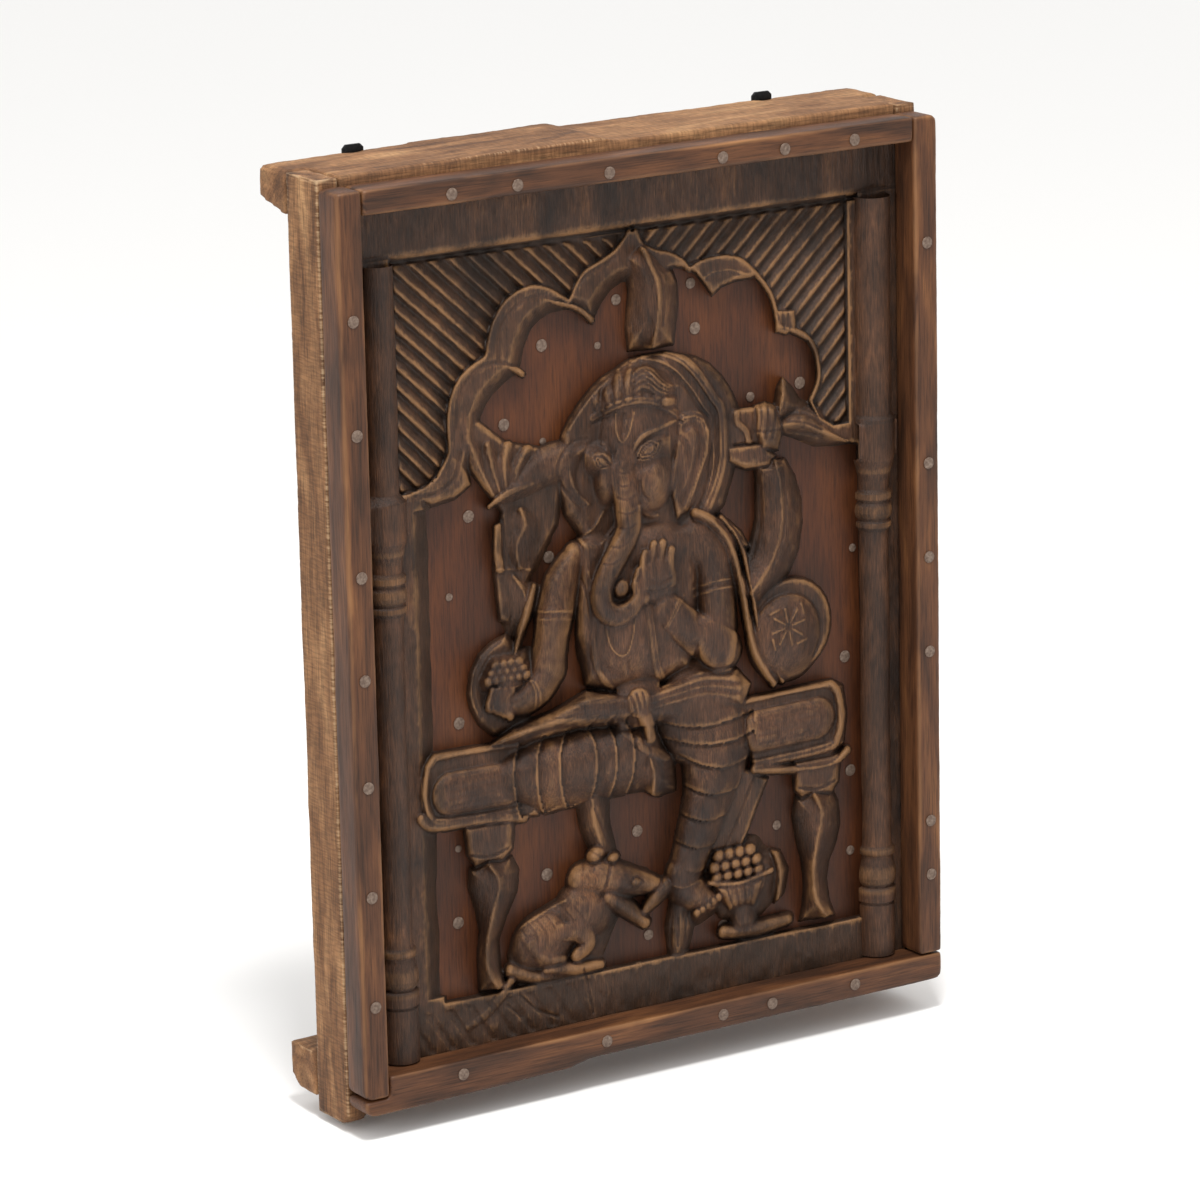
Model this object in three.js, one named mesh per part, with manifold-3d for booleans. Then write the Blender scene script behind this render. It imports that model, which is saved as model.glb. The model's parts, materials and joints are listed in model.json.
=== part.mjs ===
// Carved wall panel: a deep box frame with nailed strips holds a pierced relief over a plain board.
// Panel axes while building: x to the viewer's right, depth back from the strips' faces, z up from
// the middle. The finished group is moved so that the origin is on the back of the top rail.
import * as THREE from 'three';
import { mergeVertices } from 'three/addons/utils/BufferGeometryUtils.js';
import Module from 'manifold-3d';

const wasm = await Module();
wasm.setup();

// Driving dimensions, millimetres
const halfWidth = 283;
const wallDepth = 121;            // strips' faces to the wall
const mountHeight = 364;          // middle of the top rail's back face above the panel's middle
const stripDepth = 30;
const stileDepth = 49;
const stileThickness = 20;
const stileTop = 376;
const leftStileBottom = -392;
const rightStileBottom = -380;
const stileBack = stripDepth + stileDepth;
const railTopLeft = 375;
const railTopStep = 381;
const railTopRight = 378;
const railStepX = -15;
const railCorner = 8;
const railUnderside = 340;
const railBackEdge = 351;         // the rail's lower back corner is cut off above this height
const rebate = 348;               // the relief and the ground board end here, top and bottom
const bottomRailTop = -342;
const bottomRailUnderside = -380;
const bottomRailBackEdge = -371;
const stripTop = 370;
const stripWidth = 23.4;
const topStripUnderside = 349.4;
const bottomStripTop = -345.7;
const bottomStripEdge = -369.5;
const bottomStripLeftEdge = -377;
const stripKink = [-91, -70];     // where the bottom strip's lower edge steps up
const leftStripEnd = -363;
const columnFoot = -344.6;
const softEdge = 1.4;
const gap = 0.3;

const faceDepth = 30 + gap;       // the relief's flat face, behind the strips
const reliefBack = 41.7;
const groundFront = 42;
const groundBack = 54;
const spandrelDepth = 37;
const fluteRise = 5.5;
const fluteSpacing = 18;
const facetTolerance = 2.3;       // facets closer than this to their neighbours' plane are merged
const lintelUnderside = 308;
const spandrelTop = 303;

const nailRadius = 5;
const nailProud = 0.8;
const nailsTop = [-180, -120, -35, 72, 132, 200];
const nailsLeft = [269, 179, 66, -17, -104, -194, -285];
const nailsRight = [265, 80, 0, -81, -228, -275];
const nailsBottom = [-192, -55, 59, 108, 192];

const hangerX = [-198, 191];
const hangerWidth = 19;
const hangerTop = 383;
const hangerHeight = 29;
const hangerThickness = 2.5;
const keyholeRadius = 4;
const keyholeSlot = 2.3;

// The relief was laid out as it is seen from the front left on a plane behind the strips' faces.
// One millimetre deeper is seen this far to the left and this far up.
const layoutDepth = 28;
const slantX = 0.634;
const slantZ = 0.307;

function place(x, z, depth) {
  return [x + slantX * (depth - layoutDepth), z - slantZ * (depth - layoutDepth)];
}

function finish(colour, roughness, metalness = 0) {
  return new THREE.MeshStandardMaterial({ color: colour, roughness, metalness });
}

const materials = {
  rail: finish(0x8a6a4c, 0.8),
  strip: finish(0x6e4a30, 0.65),
  relief: finish(0x57422f, 0.6),
  ground: finish(0x74401f, 0.6),
  nail: finish(0x8e867c, 0.5, 0.6),
  steel: finish(0x151515, 0.45, 0.8),
};

function solid(geometry) {
  const bare = geometry.index ? geometry.clone() : geometry;
  bare.deleteAttribute('normal');
  bare.deleteAttribute('uv');
  const merged = mergeVertices(bare, 1e-4);
  return new wasm.Manifold(new wasm.Mesh({
    numProp: 3,
    vertProperties: Float32Array.from(merged.attributes.position.array),
    triVerts: Uint32Array.from(merged.index.array),
  }));
}

function geometryOf(manifold) {
  const mesh = manifold.getMesh();
  const geometry = new THREE.BufferGeometry();
  geometry.setAttribute('position', new THREE.BufferAttribute(Float32Array.from(mesh.vertProperties), 3));
  geometry.setIndex(Array.from(mesh.triVerts));
  return geometry;
}

function unite(parts) {
  return parts.reduce((whole, part) => whole.add(part));
}

function box(x0, x1, depth0, depth1, z0, z1) {
  const geometry = new THREE.BoxGeometry(x1 - x0, depth1 - depth0, z1 - z0);
  return geometry.translate((x0 + x1) / 2, (depth0 + depth1) / 2, (z0 + z1) / 2);
}

// An outline in x and z, pushed through from one depth to another
function plank(outline, front, back, edge = 0) {
  const shape = new THREE.Shape(outline.map(([x, z]) => new THREE.Vector2(x, z)));
  const geometry = new THREE.ExtrudeGeometry(shape, {
    depth: back - front - 2 * edge,
    bevelEnabled: edge > 0,
    bevelSize: edge,
    bevelThickness: edge,
    bevelOffset: -edge,
    bevelSegments: 1,
    steps: 1,
  });
  return geometry.rotateX(Math.PI / 2).translate(0, back - edge, 0);
}

// A beam with the same section all along x; the section is drawn in depth and z
function beam(section, x0, x1) {
  const shape = new THREE.Shape(section.map(([depth, z]) => new THREE.Vector2(depth, z)));
  const geometry = new THREE.ExtrudeGeometry(shape, { depth: x1 - x0, bevelEnabled: false, steps: 1 });
  return geometry.rotateX(Math.PI / 2).rotateZ(Math.PI / 2).translate(x0, 0, 0);
}

function arc(x, z, radius, from, to, count) {
  const points = [];
  for (let i = 0; i < count; i += 1) {
    const angle = THREE.MathUtils.degToRad(from + (to - from) * i / (count - 1));
    points.push([x + radius * Math.cos(angle), z + radius * Math.sin(angle)]);
  }
  return points;
}

// A closed skin through rings of equal length, each a list of [x, depth, z]
function loft(rings) {
  const count = rings[0].length;
  const positions = rings.flat(2);
  const faces = [];
  for (let r = 0; r + 1 < rings.length; r += 1) {
    for (let i = 0; i < count; i += 1) {
      const a = r * count + i;
      const b = r * count + (i + 1) % count;
      faces.push(a, b, b + count, a, b + count, a + count);
    }
  }
  const cap = (ring, offset, flip) => {
    const flat = ring.map(([x, , z]) => new THREE.Vector2(x, z));
    for (const [a, b, c] of THREE.ShapeUtils.triangulateShape(flat, [])) {
      faces.push(...(flip ? [offset + a, offset + c, offset + b] : [offset + a, offset + b, offset + c]));
    }
  };
  const clockwise = THREE.ShapeUtils.isClockWise(rings[0].map(([x, , z]) => new THREE.Vector2(x, z)));
  cap(rings[0], 0, !clockwise);
  cap(rings[rings.length - 1], (rings.length - 1) * count, clockwise);
  const geometry = new THREE.BufferGeometry();
  geometry.setAttribute('position', new THREE.BufferAttribute(Float32Array.from(positions), 3));
  geometry.setIndex(faces);
  return geometry;
}

function loftSolid(rings) {
  const manifold = solid(loft(rings));
  return manifold.volume() > 0 ? manifold : solid(loft(rings.map((ring) => [...ring].reverse())));
}

// A rounded swelling that rises from the relief's back, oval in front view
function dome(x, z, halfX, halfZ, rise, turn = 0) {
  const [cx, cz] = place(x, z, reliefBack - rise / 2);
  const geometry = new THREE.SphereGeometry(1, 9, 6);
  geometry.scale(halfX, rise, halfZ);
  geometry.rotateY(THREE.MathUtils.degToRad(-turn));
  geometry.translate(cx, reliefBack, cz);
  return solid(geometry);
}

// A rounded or keeled swelling that follows a path; widths and rises are given at the path's points
function ridge(points, widths, rises, sides = 4, stationsPerSpan = 2, base = reliefBack) {
  const list = (value) => (Array.isArray(value) ? value : points.map(() => value));
  const halfWidths = list(widths);
  const heights = list(rises);
  const seats = points.map(([x, z], i) => place(x, z, reliefBack - heights[i] / 2));
  const curve = new THREE.CatmullRomCurve3(seats.map(([x, z]) => new THREE.Vector3(x, 0, z)));
  const spans = points.length - 1;
  const stations = [];
  const at = (values, t) => {
    const i = Math.min(Math.floor(t * spans), spans - 1);
    return THREE.MathUtils.lerp(values[i], values[i + 1], t * spans - i);
  };
  for (let i = 0; i <= spans * stationsPerSpan; i += 1) {
    const t = i / (spans * stationsPerSpan);
    const middle = curve.getPoint(t);
    const heading = curve.getTangent(t);
    stations.push({ middle, heading, half: at(halfWidths, t), high: at(heights, t) });
  }
  const rounded = (station, direction) => {
    const middle = station.middle.clone().addScaledVector(station.heading, direction * station.half * 0.75);
    return { middle, heading: station.heading, half: station.half * 0.55, high: station.high * 0.7 };
  };
  stations.unshift(rounded(stations[0], -1));
  stations.push(rounded(stations[stations.length - 1], 1));
  const skirt = 3;
  const rings = stations.map(({ middle, heading, half, high }) => {
    const ring = [];
    for (let k = 0; k <= sides; k += 1) {
      const angle = Math.PI * k / sides;
      const across = half * Math.cos(angle);
      const depth = base - (high - (reliefBack - base)) * Math.sin(angle);
      ring.push([middle.x + across * heading.z, depth, middle.z - across * heading.x]);
    }
    ring.push([middle.x - half * heading.z, base + skirt, middle.z + half * heading.x]);
    ring.push([middle.x + half * heading.z, base + skirt, middle.z - half * heading.x]);
    return ring;
  });
  return tubeSolid(rings);
}

// A closed skin through rings, with a fan of triangles over each end
function tubeSolid(rings) {
  const count = rings[0].length;
  const positions = rings.flat(2);
  const faces = [];
  for (let r = 0; r + 1 < rings.length; r += 1) {
    for (let i = 0; i < count; i += 1) {
      const a = r * count + i;
      const b = r * count + (i + 1) % count;
      faces.push(a, b, b + count, a, b + count, a + count);
    }
  }
  const last = (rings.length - 1) * count;
  for (let i = 1; i + 1 < count; i += 1) {
    faces.push(0, i + 1, i);
    faces.push(last, last + i, last + i + 1);
  }
  const build = (triangles) => {
    const geometry = new THREE.BufferGeometry();
    geometry.setAttribute('position', new THREE.BufferAttribute(Float32Array.from(positions), 3));
    geometry.setIndex(triangles);
    return solid(geometry);
  };
  const manifold = build(faces);
  if (manifold.volume() > 0) return manifold;
  const flipped = [];
  for (let i = 0; i < faces.length; i += 3) flipped.push(faces[i], faces[i + 2], faces[i + 1]);
  return build(flipped);
}

// A raised flat piece with sloping sides
function raised(outline, rise, slope = 2) {
  const middle = outline.reduce(([a, b], [x, z]) => [a + x / outline.length, b + z / outline.length], [0, 0]);
  const shrink = ([x, z]) => {
    const reach = Math.hypot(x - middle[0], z - middle[1]);
    const keep = Math.max(0, 1 - slope / reach);
    return [middle[0] + (x - middle[0]) * keep, middle[1] + (z - middle[1]) * keep];
  };
  const ring = (points, depth, seen) => points.map(([x, z]) => {
    const [px, pz] = place(x, z, seen);
    return [px, depth, pz];
  });
  const front = reliefBack - rise;
  return loftSolid([
    ring(outline, reliefBack + 3, reliefBack),
    ring(outline, reliefBack, reliefBack),
    ring(outline, front + Math.min(slope, rise / 2), front + slope),
    ring(outline.map(shrink), front, front),
  ]);
}

function tapered(foot, top, rise) {
  const ring = (points, depth, seen) => points.map(([x, z]) => {
    const [px, pz] = place(x, z, seen);
    return [px, depth, pz];
  });
  const front = reliefBack - rise;
  return loftSolid([
    ring(foot, reliefBack + 3, reliefBack),
    ring(foot, reliefBack, reliefBack),
    ring(top, front, front),
  ]);
}

// A cut with a V section along a path, its floor at the given rise
function groove(points, half, floorRise) {
  const mouth = reliefBack - 45;
  const seats = points.map(([x, z]) => place(x, z, reliefBack - floorRise));
  const curve = new THREE.CatmullRomCurve3(seats.map(([x, z]) => new THREE.Vector3(x, 0, z)));
  const count = points.length + 2;
  const rings = [];
  for (let i = 0; i < count; i += 1) {
    const middle = curve.getPoint(i / (count - 1));
    const heading = curve.getTangent(i / (count - 1));
    const side = (s, depth) => [middle.x + s * heading.z, depth, middle.z - s * heading.x];
    rings.push([side(-half * 5, mouth), side(0, reliefBack - floorRise), side(half * 5, mouth)]);
  }
  return tubeSolid(rings);
}

// Frame

function topRail() {
  const lap = halfWidth - stileThickness - gap;
  const outline = [
    [-halfWidth, railUnderside - 10], [halfWidth, railUnderside - 10],
    ...arc(halfWidth - railCorner, railTopRight - railCorner, railCorner, 0, 90, 5),
    [railStepX + 6, railTopRight - 1], [railStepX - 6, railTopStep], [-halfWidth + 5, railTopLeft + 2],
    [-halfWidth, railTopLeft - 3],
  ];
  const rear = beam([
    [stileBack + gap, railUnderside], [wallDepth, railBackEdge], [wallDepth, railTopStep + 5],
    [stileBack + gap, railTopStep + 5],
  ], -halfWidth, halfWidth);
  const front = box(-lap, lap, stripDepth, stileBack + gap, rebate, railTopStep + 5);
  const lapped = solid(rear).add(solid(front));
  const shaped = lapped.intersect(solid(plank(outline, stripDepth - 1, wallDepth + 1)));
  const recesses = hangerX.map((x) => hangerRecess(x));
  return geometryOf(shaped.subtract(unite(recesses)));
}

function bottomRail() {
  const lap = halfWidth - stileThickness - gap;
  const rear = beam([
    [stileBack + gap, bottomRailUnderside], [wallDepth - 12, bottomRailUnderside],
    [wallDepth, bottomRailBackEdge], [wallDepth, bottomRailTop], [stileBack + gap, bottomRailTop],
  ], -halfWidth, halfWidth);
  const front = box(-lap, lap, stripDepth, stileBack + gap, bottomRailUnderside + 6, -rebate - 4);
  return geometryOf(solid(rear).add(solid(front)));
}

function stile(side, bottom) {
  const outer = side * halfWidth;
  const inner = side * (halfWidth - stileThickness);
  const section = [
    [Math.min(outer, inner), bottom + 7], [Math.min(outer, inner), stileTop],
    [Math.max(outer, inner), stileTop], [Math.max(outer, inner), bottom + 7],
  ];
  const full = solid(plank(section, stripDepth, stileBack));
  const foot = solid(beam([
    [stripDepth + 8, bottom], [stileBack, bottom], [stileBack, bottom + 8], [stripDepth, bottom + 8],
  ], Math.min(outer, inner), Math.max(outer, inner)));
  return geometryOf(full.add(foot));
}

function leftStrip() {
  const outline = [
    [-halfWidth, leftStripEnd + 4], ...arc(-halfWidth + 8, leftStripEnd + 8, 8, 225, 270, 3),
    [-halfWidth + stripWidth, leftStripEnd], [-halfWidth + stripWidth, stripTop],
    ...arc(-halfWidth + 4, stripTop - 4, 4, 90, 180, 3),
  ];
  return plank(outline, 0, stripDepth, softEdge);
}

function rightStrip() {
  const outline = [
    [halfWidth - stripWidth, bottomStripTop + gap], [halfWidth, bottomStripTop + gap],
    ...arc(halfWidth - 7, stripTop - 7, 7, 0, 90, 5), [halfWidth - stripWidth, stripTop],
  ];
  return plank(outline, 0, stripDepth, softEdge);
}

function topStrip() {
  const reach = halfWidth - stripWidth - gap;
  return plank([
    [-reach, topStripUnderside], [reach, topStripUnderside], [reach, stripTop], [-reach, stripTop],
  ], 0, stripDepth, softEdge);
}

function bottomStrip() {
  const inner = -halfWidth + stripWidth + gap;
  const outline = [
    [-halfWidth, leftStripEnd - gap], ...arc(-halfWidth + 10, bottomStripLeftEdge + 10, 10, 180, 270, 5),
    [stripKink[0], bottomStripLeftEdge + 3], [stripKink[1], bottomStripEdge],
    ...arc(halfWidth - 8, bottomStripEdge + 8, 8, 270, 360, 5),
    [halfWidth, bottomStripTop], [inner, bottomStripTop], [inner, leftStripEnd - gap],
  ];
  return plank(outline, 0, stripDepth, softEdge);
}

function groundBoard() {
  const reach = halfWidth - stileThickness - gap;
  return box(-reach, reach, groundFront, groundBack, -rebate + gap, rebate - gap);
}

function nailHead() {
  const geometry = new THREE.CylinderGeometry(nailRadius * 0.9, nailRadius, nailProud, 8);
  return geometry.rotateX(Math.PI).translate(0, -nailProud / 2, 0);
}

// Hangers

function hangerPlate(x) {
  const half = hangerWidth / 2;
  const foot = hangerTop - hangerHeight;
  const outline = [
    [x - half, foot], [x + half, foot], [x + half, hangerTop - 3], [x + half - 3, hangerTop],
    [x - half + 3, hangerTop], [x - half, hangerTop - 3],
  ];
  const plate = solid(plank(outline, wallDepth - hangerThickness, wallDepth));
  const eye = [
    ...arc(x, foot + 9, keyholeRadius, 150, 390, 9),
    ...arc(x, foot + 17, keyholeSlot, 0, 180, 4),
  ];
  return plate.subtract(solid(plank(eye, wallDepth - hangerThickness - 1, wallDepth + 1)));
}

function hangerRecess(x) {
  const half = hangerWidth / 2 + gap;
  const foot = hangerTop - hangerHeight - gap;
  const bed = solid(box(x - half, x + half, wallDepth - hangerThickness - gap, wallDepth + 1, foot, hangerTop + 9));
  const pocket = solid(box(x - 6, x + 6, wallDepth - 14, wallDepth, foot + 4, foot + 22));
  return bed.add(pocket);
}

// Carved relief: the slab

// The pierced opening is one loop; its edge on the relief's face and its edge on the ground board
function openingFace() {
  return [
    [-207, -304], [-207, 110], [-196, 108], [-183, 107], [-168, 108], [-158, 116], [-160, 140],
    ...arc(-126, 175, 34, 195, 78, 7),
    ...arc(-93, 230, 28.5, 207, 37, 9),
    ...arc(-12, 243, 40, 160, 95, 5),
    [4, 292],
    ...arc(20, 247, 38, 88, 33, 4),
    [62, 262], [72, 255],
    ...arc(102, 222, 37, 120, -12, 8),
    ...arc(146, 165, 34.5, 85, -48, 8),
    [186, 119], [198, 103], [222, 99], [223, -304],
  ];
}

function openingGround() {
  return [
    [-190, -308], [-190, 105], [-184, 105], [-177, 105], [-166, 106], [-156, 112], [-150, 138],
    ...arc(-106, 164, 36, 190, 90, 7),
    ...arc(-68, 209, 37, 190, 38, 9),
    ...arc(-2, 231, 32.5, 170, 95, 5),
    [8, 278],
    ...arc(22, 245, 37, 95, 35, 4),
    [62, 260], [78, 240],
    ...arc(106, 215, 33, 128, -5, 8),
    ...arc(146, 164, 34, 85, -48, 8),
    [185, 118], [197, 102], [220, 98], [221, -308],
  ];
}

function opening() {
  const ring = (points, depth, seen) => points.map(([x, z]) => {
    const [px, pz] = place(x, z, seen);
    return [px, depth, pz];
  });
  return loftSolid([
    ring(openingFace(), faceDepth - 8, faceDepth),
    ring(openingFace(), faceDepth, faceDepth),
    ring(openingGround(), reliefBack, reliefBack),
    ring(openingGround(), reliefBack + 5, reliefBack),
  ]);
}

const leftSpandrel = [
  [-222, spandrelTop], [-4, spandrelTop], [-14, 292], [-30, 285], [-48, 273], [-60, 258],
  ...arc(-94, 231, 39, 45, 190, 9),
  ...arc(-138, 180, 35, 88, 212, 7),
  [-174, 146], [-184, 131], [-202, 122], [-222, 119],
];

const rightSpandrel = [
  [6, spandrelTop], [18, 290], [32, 286], [45, 279], [57, 262],
  ...arc(88, 232, 38, 130, 35, 7),
  [129, 246], [141, 231], [143, 217], [147, 206], [158, 200],
  ...arc(146, 165, 36, 60, -40, 6),
  [168, 134], [184, 121], [197, 114], [214, 118], [214, spandrelTop],
];

function spandrelCut(outline) {
  const points = outline.map(([x, z]) => place(x, z, spandrelDepth));
  return solid(plank(points, faceDepth - 6, spandrelDepth));
}

// Sharp ridges that run up and away from the arch, steeper beside its point
function flutes(outline, side) {
  const prisms = [];
  const ridgeFrom = side < 0 ? -300 : 30;
  for (let i = 0; i < 24; i += 1) {
    const topX = side < 0 ? -20 - i * fluteSpacing : ridgeFrom + i * fluteSpacing;
    if (side < 0 && topX < -430) break;
    const slope = THREE.MathUtils.clamp(1.22 - 0.0014 * Math.abs(topX), 0.88, 1.2);
    const top = place(topX - side * 12, spandrelTop + 12 * slope, spandrelDepth);
    const foot = place(topX + -side * 200, spandrelTop - 200 * slope, spandrelDepth);
    const length = Math.hypot(foot[0] - top[0], foot[1] - top[1]);
    const across = [(foot[1] - top[1]) / length, -(foot[0] - top[0]) / length];
    const half = fluteSpacing * 0.36;
    const ends = [top, foot].map(([x, z]) => [
      [x - across[0] * half, spandrelDepth + 2, z - across[1] * half],
      [x - across[0] * half, spandrelDepth, z - across[1] * half],
      [x, spandrelDepth - fluteRise, z],
      [x + across[0] * half, spandrelDepth, z + across[1] * half],
      [x + across[0] * half, spandrelDepth + 2, z + across[1] * half],
    ]);
    prisms.push(tubeSolid(ends));
  }
  const points = outline.map(([x, z]) => place(x, z, spandrelDepth));
  return unite(prisms).intersect(solid(plank(points, faceDepth - 2, spandrelDepth + 1)));
}

// Half-round column: radius at each height, from the foot up
function column(x, upperRadius, shaftRadius) {
  const profile = [
    [0, columnFoot], [shaftRadius + 2.5, columnFoot], [shaftRadius + 2.5, -299], [shaftRadius + 3.5, -297],
    [shaftRadius + 3.5, -286], [shaftRadius, -284], [shaftRadius + 3, -281], [shaftRadius + 3.5, -270],
    [shaftRadius + 1, -258], [shaftRadius + 2.5, -256], [shaftRadius + 2.5, -251], [shaftRadius, -249],
    [shaftRadius, 25], [shaftRadius + 2.5, 27], [shaftRadius + 2.5, 31], [shaftRadius + 0.5, 33],
    [shaftRadius + 3.5, 40], [shaftRadius + 2, 49], [shaftRadius + 3, 51], [shaftRadius + 3, 56],
    [shaftRadius, 60], [shaftRadius + 1, 70], [shaftRadius + 3.5, 80], [upperRadius + 1, 84],
    [upperRadius + 1, 116], [upperRadius - 1, 119], [upperRadius - 1, lintelUnderside - 4],
    [0, lintelUnderside - 4],
  ];
  const geometry = new THREE.LatheGeometry(profile.map(([r, z]) => new THREE.Vector2(r, z)), 10);
  geometry.rotateX(Math.PI / 2);
  geometry.translate(x, faceDepth + 1, 0);
  const turned = solid(geometry);
  return turned.intersect(solid(box(x - 30, x + 30, faceDepth - 25, faceDepth + 4, columnFoot, lintelUnderside)));
}

const reliefReach = halfWidth - stileThickness - gap;

function slab() {
  const plate = solid(box(-reliefReach, reliefReach, faceDepth, reliefBack, -rebate + gap, rebate - gap));
  const undercut = solid(box(-222, 218, faceDepth - 1, spandrelDepth + 2, spandrelTop, lintelUnderside));
  const cut = plate
    .subtract(opening())
    .subtract(spandrelCut(leftSpandrel))
    .subtract(spandrelCut(rightSpandrel))
    .subtract(undercut);
  return unite([
    cut, flutes(leftSpandrel, -1), flutes(rightSpandrel, 1),
    column(-232, 14, 13), column(236, 17, 13),
  ]);
}

// Carved relief: the figure and what is around it

function haloAndProw() {
  const disc = tapered(arc(24, 118, 82, 0, 345, 24), arc(10, 122, 78, 0, 345, 24), 14);
  const rim = ridge(arc(9, 122, 75, 112, -48, 9), 5, 19, 3, 1);
  const prow = ridge(
    [[4, 300], [12, 280], [20, 258], [22, 232], [19, 200]], [4, 15, 26, 26, 24], [14, 20, 25, 25, 22], 2, 2,
  );
  return [disc, rim, prow];
}

function head() {
  return [
    dome(5, 138, 43, 48, 30), dome(5, 170, 36, 24, 31), dome(20, 95, 19, 24, 33), dome(-22, 112, 16, 26, 27),
    ridge([[-38, 152], [-18, 159], [5, 161], [28, 154], [48, 142]], 4, [27, 33, 35, 34, 27], 4, 1),
    ...[-26, -12, 3, 18, 32].map((x) => dome(x, 176 - 0.012 * (x - 4) ** 2, 7, 14, 34, (4 - x) * -0.8)),
    ridge(
      [[-10, 120], [-9, 95], [-4, 72], [-6, 52], [-20, 35], [-30, 18], [-29, 3], [-18, -4], [-5, -2], [2, 7]],
      [12, 10.5, 9.5, 10, 10, 9.5, 9, 8, 6.5, 4], [33, 36, 37, 37, 37, 37, 37, 36, 35, 33], 4, 1,
    ),
    dome(-13, 12, 6.5, 6.5, 38),
    dome(58, 104, 17, 42, 21, 10), dome(-61, 107, 18, 42, 19, -18),
    ridge([[44, 142], [58, 146], [70, 135], [71, 116], [60, 92], [49, 64]], 3.5, [26, 26, 25, 25, 25, 24], 3, 1),
    ridge([[7, 74], [12, 62]], [5, 3], 36, 4, 1),
  ];
}

function body() {
  return [
    dome(12, -8, 56, 60, 26), dome(-8, -32, 42, 42, 33), dome(18, 42, 52, 28, 23),
    ridge([[-22, 0], [-22, -34], [-11, -45], [-4, -36], [2, 0]], 2, [34, 36, 36, 36, 33], 2, 1),
    ridge([[-40, 6], [-41, -34], [-31, -60], [-20, -86]], 4, [29, 31, 31, 30], 3, 1),
    ridge([[15, -12], [15, -44], [23, -70]], 5, [34, 35, 30], 3, 1),
    dome(-68, -88, 60, 15, 22, 6), dome(-4, -86, 22, 17, 27), dome(58, -84, 48, 17, 27),
  ];
}

function leftArms() {
  return [
    ridge(
      [[-72, 26], [-80, 2], [-82, -22], [-86, -46], [-102, -62], [-126, -65], [-142, -58]],
      [18, 17, 16, 17, 16, 14, 9], [24, 27, 28, 28, 27, 25, 20], 5, 1,
    ),
    dome(-66, 12, 14, 18, 27), dome(-144, -48, 21, 41, 14), dome(-122, -43, 22, 12, 27),
    ridge([[-99, 22], [-106, 0], [-117, -28]], [5, 6, 6], 22, 3, 1),
    ridge([[-156, 152], [-146, 130], [-131, 107]], [6, 9, 4], 19, 3, 1),
    ridge([[-130, 143], [-128, 108]], [7, 5], 18, 3, 1),
    dome(-104, 118, 27, 19, 15), dome(-102, 70, 18, 29, 18), dome(-114, 22, 16, 25, 17),
    ridge([[-124, 92], [-128, 52]], 6, 16, 3, 1),
    ridge([[-98, 3], [-66, 0]], 1.6, 30, 2, 1),
  ];
}

function rightArms() {
  return [
    ridge([[60, 48], [76, 24], [84, -6], [87, -36], [84, -56]], [22, 24, 22, 20, 17], [25, 28, 29, 29, 27], 5, 1),
    ridge([[88, -54], [62, -38], [40, -20], [26, -6]], [16, 17, 15, 11], [31, 33, 34, 33], 5, 1),
    dome(24, 28, 19, 26, 33), ridge([[57, -3], [75, 1], [92, 0]], 1.6, 31, 2, 1),
    ridge(
      [[56, 64], [78, 47], [92, 22], [100, -10], [106, -45], [116, -72], [133, -90]],
      6, [27, 28, 27, 26, 25, 24, 22], 4, 1,
    ),
    ridge([[72, 60], [94, 48], [110, 28]], [4, 10, 3], 17, 3, 1),
    ridge(
      [[146, 98], [147, 74], [144, 46], [137, 20], [124, 2], [113, -10]], [16, 19, 19, 17, 14, 8],
      [19, 21, 21, 21, 20, 18], 5, 1,
    ),
    dome(113, 10, 16, 22, 18), dome(143, 120, 25, 22, 21),
    ridge([[150, 140], [170, 126], [192, 108]], [9, 10, 7], 17, 3, 1),
    ridge([[94, 108], [132, 102]], 6, 15, 3, 1), ridge([[103, 142], [108, 128], [114, 112]], 5, 18, 3, 1),
    raised([[86, 143], [150, 143], [150, 98], [88, 98]], 9),
    dome(152, 151, 8, 10, 13),
  ];
}

function cushion() {
  return [tapered(arc(150, -46, 43, 0, 340, 18), arc(146, -50, 33, 0, 340, 18), 24)];
}

function roundEnd(side, tip, reach, top, bottom) {
  const radius = (top - bottom) / 2;
  const middle = (top + bottom) / 2;
  const x = side * (tip - radius);
  const turn = side < 0 ? [90, 270] : [90, -90];
  return [[side * reach, top], ...arc(x, middle, radius, turn[0], turn[1], 7), [side * reach, bottom]];
}

function throne() {
  const seat = (side) => {
    const outline = roundEnd(side, 207, 93.5, -92, -158.5);
    return [
      raised(side < 0 ? outline : [...outline].reverse(), 13),
      ridge(roundEnd(side, 203, 100, -102, -154), 5, 19, 3, 1),
      ridge([[side * 184, -132], [side * 118, -132]], 15, 24, 5, 1),
      ridge([[side * 200, -155], [side * 178, -166.5], [side * 131, -164]], 7, 16, 3, 1),
    ];
  };
  return [
    ...seat(-1), ...seat(1),
    ridge(
      [[-148, -163], [-146, -185], [-143, -211], [-151, -240], [-152, -270], [-148, -302]],
      [20, 19, 25, 16, 11, 15], [18, 20, 27, 24, 22, 18], 4, 2,
    ),
    ridge(
      [[172, -163], [172, -188], [174, -214], [174, -240], [174, -266], [181, -302]],
      [18, 19, 25, 20, 13, 17], [18, 20, 27, 25, 22, 18], 4, 2,
    ),
  ];
}

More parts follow.
